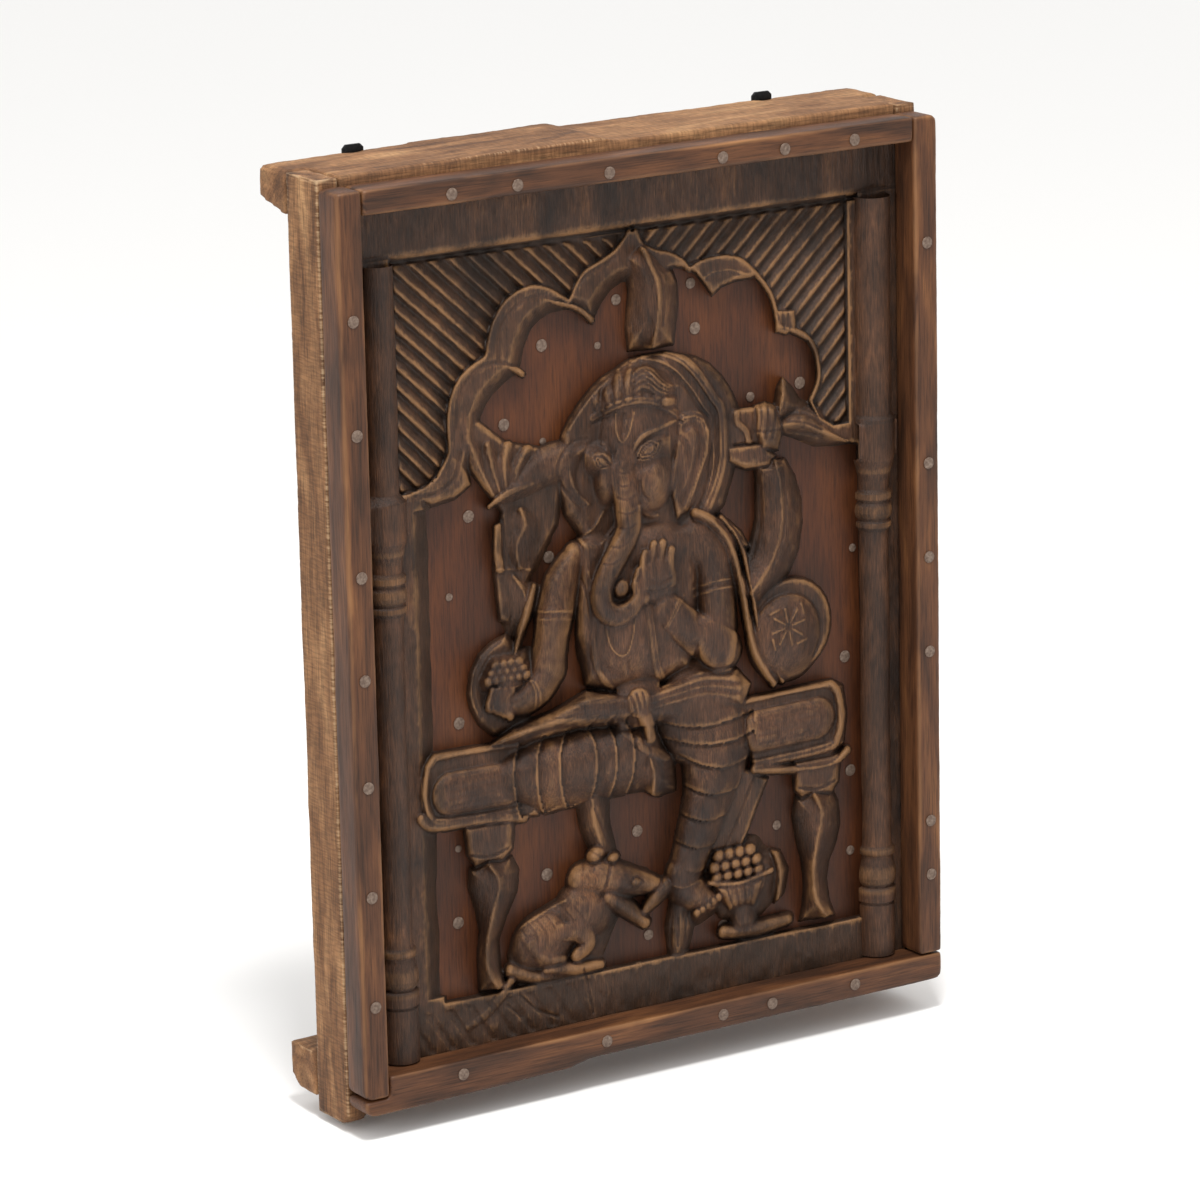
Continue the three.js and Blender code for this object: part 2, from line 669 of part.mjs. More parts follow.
function legs() {
  const folded = ridge(
    [[-122, -130], [-95, -132], [-55, -132], [-15, -132], [14, -148]], [20, 33, 33, 30, 18],
    [24, 30, 32, 31, 25], 5, 2,
  );
  const pleats = [-113, -87, -51, -23].map((x) => groove(
    [[x - 6, -92], [x + 2, -115], [x + 2, -140], [x - 5, -172]], 0.5, 22,
  ));
  const hanging = ridge(
    [[60, -92], [70, -128], [70, -160], [61, -190], [50, -220], [42, -250]], [44, 39, 33, 27, 24, 20],
    [30, 33, 33, 31, 29, 26], 5, 2,
  );
  const wraps = [-120, -150, -175, -189, -211, -235].map((z, i) => groove(
    [[12 + i * 3, z + 18], [44 - i, z - 4], [78 - i * 5, z - 9], [118 - i * 8, z - 2]], 0.45, 27 - i,
  ));
  return [
    folded.subtract(unite(pleats)), hanging.subtract(unite(wraps)),
    dome(16, -152, 16, 17, 26), dome(42, -262, 23, 14, 25), dome(14, -258, 16, 9, 20),
    ridge([[37, -272], [38, -300]], [13, 11], 15, 3, 1),
    raised([[102, -158], [126, -172], [97, -230], [68, -226]], 9),
  ];
}

function mouse() {
  return [
    dome(-92, -266, 38, 25, 24), dome(-48, -246, 25, 28, 25),
    ridge([[-46, -222], [-20, -230], [8, -244]], [17, 15, 8], [24, 25, 21], 4, 1),
    ridge([[-22, -252], [0, -272]], [10, 6], 20, 4, 1), dome(-62, -282, 20, 13, 21),
    dome(-42, -207, 9, 7, 24), ridge([[-128, -296], [-50, -300]], 9, 16, 3, 1),
    ridge([[-130, -303], [-150, -318], [-168, -330]], [4.5, 3.5, 2], 17, 3, 1),
  ];
}

function sweets() {
  const balls = [[-232, 5, 74], [-243, 4, 79]].flatMap(([z, count, x]) => {
    const row = [];
    for (let i = 0; i < count; i += 1) row.push(dome(x + i * 10.5, z, 6, 6, 23));
    return row;
  });
  return [
    ...balls, dome(96, -240, 30, 12, 18), dome(96, -260, 31, 19, 25),
    ridge([[96, -274], [97, -292]], [13, 11], 19, 4, 1), ridge([[80, -294], [132, -301]], 6, 17, 3, 1),
    dome(136, -252, 11, 17, 19), dome(128, -276, 14, 14, 17),
  ];
}

function carvedRelief() {
  const whole = unite([
    slab(), ...haloAndProw(), ...throne(), ...cushion(), ...body(), ...leftArms(), ...rightArms(),
    ...legs(), ...mouse(), ...sweets(), ...head(),
  ]);
  const inside = solid(box(-reliefReach, reliefReach, 2, reliefBack, -rebate + gap, rebate - gap));
  const pieces = whole.intersect(inside).simplify(facetTolerance).decompose();
  const largest = pieces.reduce((best, piece) => (piece.volume() > best.volume() ? piece : best));
  return geometryOf(largest);
}

// The panel

const panel = new THREE.Group();

function add(name, geometry, material, position = [0, 0, 0]) {
  const mesh = new THREE.Mesh(geometry, material);
  mesh.name = name;
  mesh.position.set(...position);
  panel.add(mesh);
}

add('top_rail', topRail(), materials.rail);
add('bottom_rail', bottomRail(), materials.rail);
add('left_stile', stile(-1, leftStileBottom), materials.rail);
add('right_stile', stile(1, rightStileBottom), materials.rail);
add('top_strip', topStrip(), materials.strip);
add('bottom_strip', bottomStrip(), materials.strip);
add('left_strip', leftStrip(), materials.strip);
add('right_strip', rightStrip(), materials.strip);
add('carved_relief', carvedRelief(), materials.relief);
add('ground_board', groundBoard(), materials.ground);
add('left_hanger', geometryOf(hangerPlate(hangerX[0])), materials.steel);
add('right_hanger', geometryOf(hangerPlate(hangerX[1])), materials.steel);

const stripMiddle = halfWidth - stripWidth / 2;
const nails = [
  ...nailsTop.map((x) => [x, 358]),
  ...nailsLeft.map((z) => [-stripMiddle, z]),
  ...nailsRight.map((z) => [stripMiddle, z]),
  ...nailsBottom.map((x) => [x, -357]),
];
nails.forEach(([x, z], i) => {
  add(`nail_${String(i + 1).padStart(2, '0')}`, nailHead(), materials.nail, [x, 0, z]);
});

panel.position.set(0, -wallDepth, -mountHeight);
const root = new THREE.Group();
root.add(panel);

export default root;
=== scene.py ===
import json
import math

import bpy
import numpy as np
from mathutils import Matrix, Vector

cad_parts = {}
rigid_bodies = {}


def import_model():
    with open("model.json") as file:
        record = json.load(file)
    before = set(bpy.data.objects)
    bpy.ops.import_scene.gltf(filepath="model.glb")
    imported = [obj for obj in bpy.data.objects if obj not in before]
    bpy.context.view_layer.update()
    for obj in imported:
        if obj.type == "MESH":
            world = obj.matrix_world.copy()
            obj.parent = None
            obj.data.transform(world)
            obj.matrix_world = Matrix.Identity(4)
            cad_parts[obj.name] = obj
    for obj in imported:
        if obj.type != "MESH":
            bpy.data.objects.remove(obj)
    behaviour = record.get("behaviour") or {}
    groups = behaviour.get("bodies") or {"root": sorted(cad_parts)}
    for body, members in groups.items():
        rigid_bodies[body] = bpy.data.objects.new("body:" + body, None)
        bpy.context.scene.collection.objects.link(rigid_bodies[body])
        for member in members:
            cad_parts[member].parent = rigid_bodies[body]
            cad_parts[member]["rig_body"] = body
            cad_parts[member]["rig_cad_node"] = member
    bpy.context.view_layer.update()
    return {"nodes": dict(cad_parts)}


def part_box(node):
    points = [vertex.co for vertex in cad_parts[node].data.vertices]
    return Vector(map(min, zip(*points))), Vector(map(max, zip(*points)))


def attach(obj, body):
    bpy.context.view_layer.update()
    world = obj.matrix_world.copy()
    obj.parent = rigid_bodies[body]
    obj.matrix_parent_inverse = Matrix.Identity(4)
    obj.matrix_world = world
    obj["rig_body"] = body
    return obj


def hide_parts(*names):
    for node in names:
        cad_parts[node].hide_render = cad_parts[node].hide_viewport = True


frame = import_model()

# Sizes in millimetres. They are those of the part's source, but for the fluted corners, which are drawn a
# little finer and deeper here. A depth runs from the front of the strips to the wall, and a height is
# measured from the middle of the carved board.
MM = 0.001
WALL_DEPTH = 121.0
MOUNT_HEIGHT = 364.0
FLOOR_HEIGHT = -398.0
FACE = 30.3
GROUND = 42.0
SPANDREL = 38.0
FLUTE_SPACING = 17.8
FLUTE_RISE = 5.0
LINTEL_FOOT = 308.0
ARCH_SPRING = 104.0
FIELD_HALF_WIDTH = 222.0
BOARD_HALF_WIDTH = 262.6
BOARD_HALF_HEIGHT = 347.6
DOUBLES = 0.02

# The carving is laid out as one viewpoint shows it, and each form slides along that line of sight
LAYOUT_DEPTH = 28.0
SLANT_X = 0.634
SLANT_Z = 0.307
SLANT_FADE_X = (262, 216)
SLANT_FADE_Z = (347, 312)

# The height map: its spacing, its reach, and how a form's sides fall away behind the ground board
CELL = 1.35
MAP_HALF_WIDTH = 262.0
MAP_HALF_HEIGHT = 347.4
FOOT = 46.0
FALL = 8.0
STATIONS = 60
FAR = 1e9
FRONTMOST = 2.5
OPEN_DEPTH = GROUND + 2.5
CUT_DEPTH = GROUND + 1.9
RELIEF_FACES = 172000

# Places and radii of the nail heads on the ground board, and how far the heads stand proud
GROUND_NAILS = [
    (-113, 158.5, 5), (-76, 218, 5), (-5, 246, 4.5), (-77, 140, 3), (-148, 89, 5), (-168, 26, 3.2),
    (-74, 44.5, 5), (70, 213, 5), (66.5, 250.5, 4.5), (123, 149, 4), (172, 154, 5), (-23.5, 211, 3),
    (-162, -79, 5), (5, -199, 5), (-83, -220, 5.2), (-166, -183, 3), (-168, -245, 5), (14, -290, 4.5),
    (88, -296, 5), (214, -85, 5), (223, 7, 3.4), (218.5, -184.5, 5), (217.6, -254.5, 4), (143, -219, 4),
]
GROUND_NAIL_PROUD = 0.8
STRIP_NAIL_RADIUS = 4.9
STRIP_NAIL_PROUD = 0.95
STRIP_NAIL_DEPTH = 0.2

# Settings and sockets of the Mix node when it mixes or multiplies two colours
BLEND = {"data_type": "RGBA", "blend_type": "MIX"}
PRODUCT = {"data_type": "RGBA", "blend_type": "MULTIPLY"}
FACTOR, FIRST, SECOND, RESULT = 0, 6, 7, 2

rng = np.random.default_rng(7)


def deselect():
    bpy.ops.object.select_all(action="DESELECT")


def only(obj):
    deselect()
    obj.select_set(True)
    bpy.context.view_layer.objects.active = obj
    return obj


def world(x, depth, z):
    return (x * MM, (depth - WALL_DEPTH) * MM, (z - MOUNT_HEIGHT) * MM)


def open_whole_mesh():
    """Edit mode on the active piece, with all of its mesh selected."""
    bpy.ops.object.mode_set(mode="EDIT")
    bpy.ops.mesh.select_all(action="SELECT")


def close_mesh():
    bpy.ops.object.mode_set(mode="OBJECT")


def vertex_places(mesh):
    places = np.zeros(len(mesh.vertices) * 3, np.float32)
    mesh.vertices.foreach_get("co", places)
    return places.reshape(-1, 3)


def set_places(mesh, places):
    mesh.vertices.foreach_set("co", places.reshape(-1).astype(np.float32))
    mesh.update()


def own_copy(node, ending):
    """A CAD node's mesh as a piece of its own, with its doubled corners merged."""
    source = frame["nodes"][node]
    piece = source.copy()
    piece.data = source.data.copy()
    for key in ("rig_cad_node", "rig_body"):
        if key in piece:
            del piece[key]
    piece.name = node + ending
    piece.parent = None
    piece.hide_render = False
    piece.hide_viewport = False
    bpy.context.scene.collection.objects.link(piece)
    only(piece)
    open_whole_mesh()
    bpy.ops.mesh.remove_doubles(threshold=DOUBLES * MM)
    close_mesh()
    return piece


# The height map. X and Z are the grid's places in the layout, as seen from the front left.

def smooth_step(low, high, value):
    t = np.clip((value - low) / (high - low), 0, 1)
    return t * t * (3 - 2 * t)


def along(points, X, Z):
    """Distance to a line through the points, how far along it, and on which side."""
    near = np.full(X.shape, FAR)
    share = np.zeros(X.shape)
    side = np.ones(X.shape)
    for i, ((x0, z0), (x1, z1)) in enumerate(zip(points, points[1:])):
        dx, dz = x1 - x0, z1 - z0
        t = np.clip(((X - x0) * dx + (Z - z0) * dz) / (dx * dx + dz * dz + 1e-9), 0, 1)
        px, pz = X - x0 - t * dx, Z - z0 - t * dz
        d = np.hypot(px, pz)
        closer = d < near
        near = np.where(closer, d, near)
        share = np.where(closer, i + t, share)
        side = np.where(closer, np.sign(dx * pz - dz * px), side)
    return near, share, side


def smooth_path(points, steps=5):
    """A rounder line through the same points."""
    if len(points) < 3:
        return list(points)
    p = np.array([points[0], *points, points[-1]], float)
    out = []
    for a, b, c, d in zip(p, p[1:], p[2:], p[3:]):
        for s in range(steps):
            t = s / steps
            out.append(0.5 * (2 * b + (c - a) * t + (2 * a - 5 * b + 4 * c - d) * t * t
                              + (3 * b - a - 3 * c + d) * t ** 3))
    out.append(p[-1])
    return [tuple(q) for q in out]


def spread(values, count):
    """One value for each of count places, from a number or from a few values in order."""
    values = [values, values] if np.isscalar(values) else values
    return np.interp(np.linspace(0, 1, count), np.linspace(0, 1, len(values)), values)


def inside_distance(outline, X, Z):
    """How far inside the closed outline a place is; less than nothing outside it."""
    ring = [*outline, outline[0]]
    near = np.full(X.shape, FAR)
    inside = np.zeros(X.shape, bool)
    for (x0, z0), (x1, z1) in zip(ring, ring[1:]):
        dx, dz = x1 - x0, z1 - z0
        t = np.clip(((X - x0) * dx + (Z - z0) * dz) / (dx * dx + dz * dz + 1e-9), 0, 1)
        near = np.minimum(near, np.hypot(X - x0 - t * dx, Z - z0 - t * dz))
        if dz:
            crossing = (z0 > Z) != (z1 > Z)
            inside ^= crossing & (X < x0 + (Z - z0) * dx / dz)
    return np.where(inside, near, -near)


def arc(x, z, radius, start, end, count):
    angles = np.radians(np.linspace(start, end, count))
    return [(x + radius * math.cos(a), z + radius * math.sin(a)) for a in angles]


class Carving:
    """The depth of the carved face over the whole board; forms are laid on it and cut into it."""

    def __init__(self, X, Z):
        self.X, self.Z = X, Z
        self.depth = np.full(X.shape, FACE)

    def box(self, points, reach):
        xs, zs = zip(*points)
        rows = (self.Z[:, 0] > min(zs) - reach) & (self.Z[:, 0] < max(zs) + reach)
        cols = (self.X[0] > min(xs) - reach) & (self.X[0] < max(xs) + reach)
        r, c = np.flatnonzero(rows), np.flatnonzero(cols)
        return slice(r[0], r[-1] + 1), slice(c[0], c[-1] + 1)

    def raise_to(self, part, new, blend=1.2):
        """Lays a form on what is there, its edge softened over a blend."""
        old = self.depth[part]
        h = np.clip(0.5 + 0.5 * (old - new) / blend, 0, 1)
        self.depth[part] = old + (new - old) * h - blend * h * (1 - h)

    def limb(self, points, widths, tops=20, power=2.0, curve=True, blend=1.2, keel=0.0, lying=False,
             rise=None):
        """A rounded length that follows a line; tops are its crest's depths.

        A lying one rests on what is there; with a rise it stands that far above it all along.
        """
        path = smooth_path(points) if curve else points
        part = self.box(path, np.max(widths) + FALL)
        X, Z = self.X[part], self.Z[part]
        d, t, _ = along(path, X, Z)
        places = np.linspace(0, len(path) - 1, STATIONS)
        width = np.interp(t, places, spread(widths, STATIONS))
        top = np.interp(t, places, spread(tops, STATIONS))
        u = np.clip(d / width, 0, 1.6)
        bow = np.sqrt(np.clip(1 - u ** power, 0, 1)) * (1 - keel) + keel * (1 - u)
        foot = np.clip(self.depth[part], top + 0.8, FOOT) if lying else FOOT
        if rise is not None:
            foot = self.depth[part]
            top = foot - np.interp(t, places, spread(rise, STATIONS))
        new = np.where(u < 1, foot - (foot - top) * bow, foot + (u - 1) * FALL)
        self.raise_to(part, new, blend)

    def keeled(self, outline, crest, top, power=0.6, blend=1.0):
        """A form with a sharp crest along a line, falling on both sides to its outline."""
        part = self.box(outline, 4)
        X, Z = self.X[part], self.Z[part]
        d = inside_distance(outline, X, Z)
        k, _, _ = along(smooth_path(crest), X, Z)
        share = np.clip(d, 0, None) / (np.clip(d, 0, None) + k + 1e-3)
        new = np.where(d > 0, FOOT - (FOOT - top) * share ** power, FOOT + 2)
        self.raise_to(part, new, blend)

    def dome(self, x, z, half_x, half_z, top, turn=0.0, power=2.0, blend=1.2, foot=FOOT):
        reach = max(half_x, half_z) + FALL
        part = self.box([(x, z)], reach)
        X, Z = self.X[part] - x, self.Z[part] - z
        c, s = math.cos(math.radians(turn)), math.sin(math.radians(turn))
        u = np.hypot((X * c + Z * s) / half_x, (Z * c - X * s) / half_z)
        bow = np.sqrt(np.clip(1 - u ** power, 0, 1))
        new = np.where(u < 1, foot - (foot - top) * bow, foot + (u - 1) * FALL)
        self.raise_to(part, new, blend)

    def swell(self, x, z, half_x, half_z, rise, turn=0.0):
        """A soft rise of what is there, without an edge."""
        part = self.box([(x, z)], max(half_x, half_z) + 2)
        X, Z = self.X[part] - x, self.Z[part] - z
        c, s = math.cos(math.radians(turn)), math.sin(math.radians(turn))
        u = np.hypot((X * c + Z * s) / half_x, (Z * c - X * s) / half_z)
        self.depth[part] -= rise * np.clip(1 - u * u, 0, 1) ** 1.5

    def plate(self, outline, top, slope=4.0, crown=0.0, blend=0.8):
        """A raised flat piece with rounded sides, perhaps a little crowned."""
        part = self.box(outline, 6)
        d = inside_distance(outline, self.X[part], self.Z[part])
        bow = np.sqrt(np.clip(1 - (1 - np.clip(d / slope, 0, 1)) ** 2, 0, 1))
        most = max(1.0, d.max())
        bulge = crown * np.sqrt(np.clip(d / most, 0, 1))
        foot = FOOT + 1
        new = np.where(d > 0, foot - (foot - top) * bow - bulge, foot - d)
        self.raise_to(part, new, blend)

    def mark(self, points, half, change, curve=True):
        """A fine groove (change above nothing) or a fine raised line along a path."""
        path = smooth_path(points) if curve else points
        part = self.box(path, half * 3 + 3)
        d, _, _ = along(path, self.X[part], self.Z[part])
        u = d / half
        self.depth[part] += change * np.exp(-u * u * 1.4)

    def step(self, points, width, change):
        """A ledge: what lies to the left of the line's way sinks, fading over the width."""
        path = smooth_path(points)
        part = self.box(path, width + 2)
        d, t, side = along(path, self.X[part], self.Z[part])
        ends = (t > 0.02) & (t < len(path) - 1.02)
        self.depth[part] += np.where(ends & (side > 0), change * np.exp(-d / width * 2.2), 0)


def opening_outline():
    return [
        (-189, -303), (-189, 106), (-178, 106), (-168, 109), (-155, 117), (-147, 140),
        (-142, 160), (-141, 172), (-137, 180), (-130, 188), (-122, 194), (-110, 200), (-105, 201),
        (-103, 210), (-100, 222), (-93, 236), (-85, 242), (-75, 246), (-62, 247), (-50, 243), (-36, 233),
        (-30, 243), (-25, 250), (-18, 257), (-8, 262), (10, 262), (42, 268), (55, 265), (62, 260), (70, 250),
        (78, 239), (88, 246), (100, 249), (120, 250), (130, 241), (138, 228), (140, 214), (139, 204),
        (148, 202), (160, 196), (170, 190), (176, 180), (180, 168), (181, 158), (178, 150), (170, 141),
        (185, 112), (200, 102), (219, 98), (222, -172), (221, -308),
    ]


ARCH_LEFT = [
    (-222, 118), (-208, 119), (-195, 122), (-182, 130), (-172, 146), (-172, 168), (-170, 185), (-164, 199),
    (-156, 208), (-146, 214), (-136, 219), (-133, 230), (-128, 245), (-118, 259), (-104, 267), (-90, 269),
    (-76, 265), (-64, 257), (-57, 254), (-50, 265), (-42, 275), (-28, 281), (-14, 288), (-5, 296), (0, 303),
]

ARCH_RIGHT = [
    (6, 303), (12, 291), (24, 284), (38, 280), (50, 273), (57, 266), (66, 269), (78, 271), (92, 271),
    (106, 267), (117, 258), (128, 246), (136, 234), (140, 222), (144, 208), (158, 203), (170, 196),
    (178, 185), (182, 168), (181, 155), (174, 142), (182, 126), (196, 117), (212, 117),
]


def lintel_edge(c):
    """The lintel's lower edge, rounded back over a few millimetres."""
    above = c.Z - LINTEL_FOOT
    c.depth = np.where(above > 0, FACE + 1.5 * smooth_step(4, 0, above), c.depth)


def fluted_corner(c, outline, side):
    """Slanting flutes; each has a wide hollow face and a thin steep one."""
    part = c.box(outline, 4)
    X, Z = c.X[part], c.Z[part]
    d = inside_distance(outline, X, Z)
    run = X + side * (LINTEL_FOOT - Z) * (1.0 + 0.0005 * np.abs(X)) + 1.3 * np.sin(Z * 0.031 + side)
    wave = (run / FLUTE_SPACING) % 1.0
    crest = 0.7 if side > 0 else 0.3
    tooth = np.where(wave < crest, wave / crest, (1 - wave) / (1 - crest)) ** 1.25
    floor = SPANDREL + 1.2 - FLUTE_RISE * tooth * smooth_step(0, 5, d)
    share = smooth_step(0, 1.6, d)
    c.depth[part] = np.where(d > 0, c.depth[part] + (floor - c.depth[part]) * share, c.depth[part])


def lintel_undercut(c):
    """The dark groove below the lintel."""
    upper = smooth_step(LINTEL_FOOT, LINTEL_FOOT - 1.5, c.Z)
    lower = smooth_step(LINTEL_FOOT - 6, LINTEL_FOOT - 4, c.Z)
    groove_depth = 41
    cut = c.depth + (groove_depth - c.depth) * (upper * lower) * 0.8
    c.depth = np.where(np.abs(c.X) < FIELD_HALF_WIDTH, cut, c.depth)


def pierced_opening(c):
    """The opening, with its sloping left wall, the cove of the arch and the lower border's edge."""
    X, Z = c.X, c.Z
    wall_foot, wall_head = -208, -186
    border_top = -300
    d = inside_distance(opening_outline(), X, Z)
    width = np.where(X < wall_head, 18.5, 2.0)
    coved = (Z > ARCH_SPRING) & (X < 8)
    width = np.where(coved, 14.0, np.where((Z > ARCH_SPRING) | (Z < border_top), 3.0, width))
    drop = GROUND + 3 - FACE
    flat = FACE + drop * smooth_step(0, 1, 1 + d / width) ** 0.8
    cove = FACE - 0.6 + drop * np.clip(1 + d / width, 0, 1) ** 1.6
    carved = np.where(coved, cove, flat)
    carved = np.where(d > 0, GROUND + 3.5, carved)
    near = (d > -width) | ((X < wall_head) & (X > wall_foot) & (Z < 112))
    c.depth = np.where(near, np.maximum(c.depth, carved), c.depth)


def board(c):
    """The board's own levels: lintel, fluted corners and the opening."""
    left = [(-FIELD_HALF_WIDTH, LINTEL_FOOT), *reversed(ARCH_LEFT)][::-1]
    right = [*ARCH_RIGHT, (212, LINTEL_FOOT), (0, LINTEL_FOOT)]
    lintel_edge(c)
    fluted_corner(c, left, -1)
    fluted_corner(c, right, 1)
    lintel_undercut(c)
    pierced_opening(c)


def arch(c):
    """The cusped band: a rounded edge over the flutes, a flat, and a fine inner line."""
    inner = [
        [(-161, 163), (-160, 180), (-156, 192), (-148, 201), (-138, 208), (-122, 210), (-110, 206),
         (-103, 201)],
        [(-121, 213), (-120, 230), (-115, 243), (-105, 252), (-92, 257), (-80, 258), (-68, 254), (-55, 250),
         (-45, 244), (-37, 236)],
        [(-50, 256), (-42, 266), (-32, 272), (-20, 276), (-10, 281)],
    ]
    c.limb(ARCH_LEFT[3:], 3.2, 30.0, blend=0.8)
    c.limb(ARCH_RIGHT[:-3], 3.0, 30.5, blend=0.8)
    for line in inner:
        c.limb(line, 3.4, 30.6, blend=1.0)
        c.mark([(x - 3.5, z + 3.5) for x, z in line], 2.0, 1.2)
    c.mark([(70, 256), (80, 260), (95, 260), (107, 256), (117, 251)], 1.6, -1.0)
    # the curled lip at the lower left
    c.plate([(-171, 150), (-182, 131), (-208, 119), (-206, 112), (-190, 105), (-168, 108), (-152, 118),
             (-158, 140)], 29.5, 6)
    c.mark([(-205, 116), (-185, 116), (-168, 126), (-162, 146)], 2.2, 1.6)
    c.plate([(139, 222), (160, 220), (161, 203), (150, 199), (139, 203)], 31, 3)
    for i in range(4):
        c.mark([(142 + i * 5, 219), (144 + i * 5, 203)], 1.0, 0.9, curve=False)


def prow(c):
    """The keeled leaf that hangs from the arch's point to the crown."""
    left = [(-10, 288), (-5, 266), (-4, 255), (-6, 240), (-7, 225), (-5, 205)]
    keel = [(5, 297), (13, 285), (20, 270), (26, 257), (27, 240), (25, 222), (20, 205)]
    right = [(42, 205), (44, 220), (47, 240), (46, 258), (42, 268), (32, 277), (16, 290)]
    c.keeled([*left, *right], keel, 15)
    c.mark([(x + 5, z) for x, z in keel[1:-1]], 1.1, 0.9)
    c.mark([(x - 7, z) for x, z in keel[2:-1]], 1.1, 0.9)


def halo(c):
    ring = [(-70, 147), (-62, 160), (-52, 172), (-40, 183), (-30, 190), (-18, 195), (-5, 201), (10, 203),
            (32, 203), (62, 195), (76, 187), (88, 175), (98, 160), (105, 143), (105, 120), (98, 92), (88, 66),
            (60, 40), (-40, 40), (-68, 80), (-76, 110)]
    c.plate(ring, 27.5, 12)
    rim = [(2, 200), (20, 204), (35, 200), (48, 193), (57, 185), (68, 172), (78, 157), (85, 147), (87, 130),
           (87, 110), (84, 95), (78, 80), (68, 62)]
    c.limb(rim, 4.6, rise=[1.5, 4.2, 4.2, 3], blend=1.2)
    c.mark([(x - 1.0, z - 1.0) for x, z in rim], 0.9, 0.9)
    c.mark([(x - 10, z - 6) for x, z in rim[1:]], 1.2, -1.0)
    c.mark([(x - 13, z - 7) for x, z in rim[1:]], 2.4, 1.4)
    c.mark([(-60, 150), (-50, 162), (-38, 174), (-24, 184), (-8, 190)], 1.8, -1.2)


def ears(c):
    """The right ear is a long loop with a thin rim, the left one a broad folded leaf."""
    c.plate([(40, 143), (50, 149), (60, 149), (71, 143), (77, 130), (75, 110), (66, 90), (54, 64), (38, 56),
             (30, 90)], 22.5, 8, crown=1)
    loop = [(40, 139), (48, 145), (59, 146), (69, 141), (73, 129), (71, 111), (63, 92), (53, 68)]
    c.limb(loop, [2.4, 3.0, 2.8, 2.2], rise=[1.5, 2.6, 2.6, 1.5], blend=0.9)
    c.mark([(50, 136), (58, 138), (64, 130), (64, 114), (56, 94), (47, 76)], 4.5, 2.6)
    c.mark([(45, 128), (52, 120), (52, 104), (45, 88)], 3.0, 1.6)
    c.keeled([(-34, 140), (-46, 148), (-60, 147), (-74, 135), (-80, 118), (-74, 100), (-60, 84), (-46, 76),
              (-32, 90)], [(-44, 132), (-60, 124), (-58, 104), (-44, 86)], 24.5, power=0.45, blend=1.6)
    c.mark([(-44, 140), (-58, 139), (-70, 126), (-72, 112), (-62, 96), (-50, 84)], 1.6, 1.3)
    c.mark([(-42, 132), (-52, 120), (-54, 104), (-46, 88)], 3.2, 1.6)


def crown(c):
    """A band and, above it, upright petals on the left and long waved locks on the right."""
    band = [(-38, 156), (-22, 161), (-5, 164), (12, 163), (28, 158), (47, 145)]
    c.limb(band, 3.4, rise=[1.8, 3.0, 1.8], blend=0.6)
    c.mark(band, 0.9, 0.7)
    c.mark([(x, z - 4.5) for x, z in band], 1.3, 0.7)
    petals = [(-31, 164, -33, 174), (-23, 166, -24, 182), (-14, 168, -13, 191), (-4, 168, -1, 193)]
    for x0, z0, x1, z1 in petals:
        c.limb([(x0, z0), ((x0 + x1) / 2 - 1, (z0 + z1) / 2), (x1, z1)], [4.8, 5.2, 3.0],
               rise=[3.0, 3.6, 1.4],
               blend=0.5, keel=0.3)
        c.mark([(x0 + 1, z0 + 3), (x1 + 1, z1 - 5)], 0.8, 0.7)
    for i in range(4):
        c.limb([(2, 186 - i * 5), (9, 190 - i * 5), (17, 188 - i * 5), (25, 179 - i * 4), (33, 173 - i * 3),
                (43 - i * 3, 171 - i * 3)], [2.0, 3.0, 2.8, 1.6], rise=[1.4, 3.0, 2.8, 1.2], blend=0.4)
    for i in range(4):
        c.dome(6 + i * 8.5, 168 - i * 2.2 - (i == 3) * 2, 4.6, 3.4, 11.0 + i * 0.6, turn=-14, blend=0.6,
               foot=14.5)


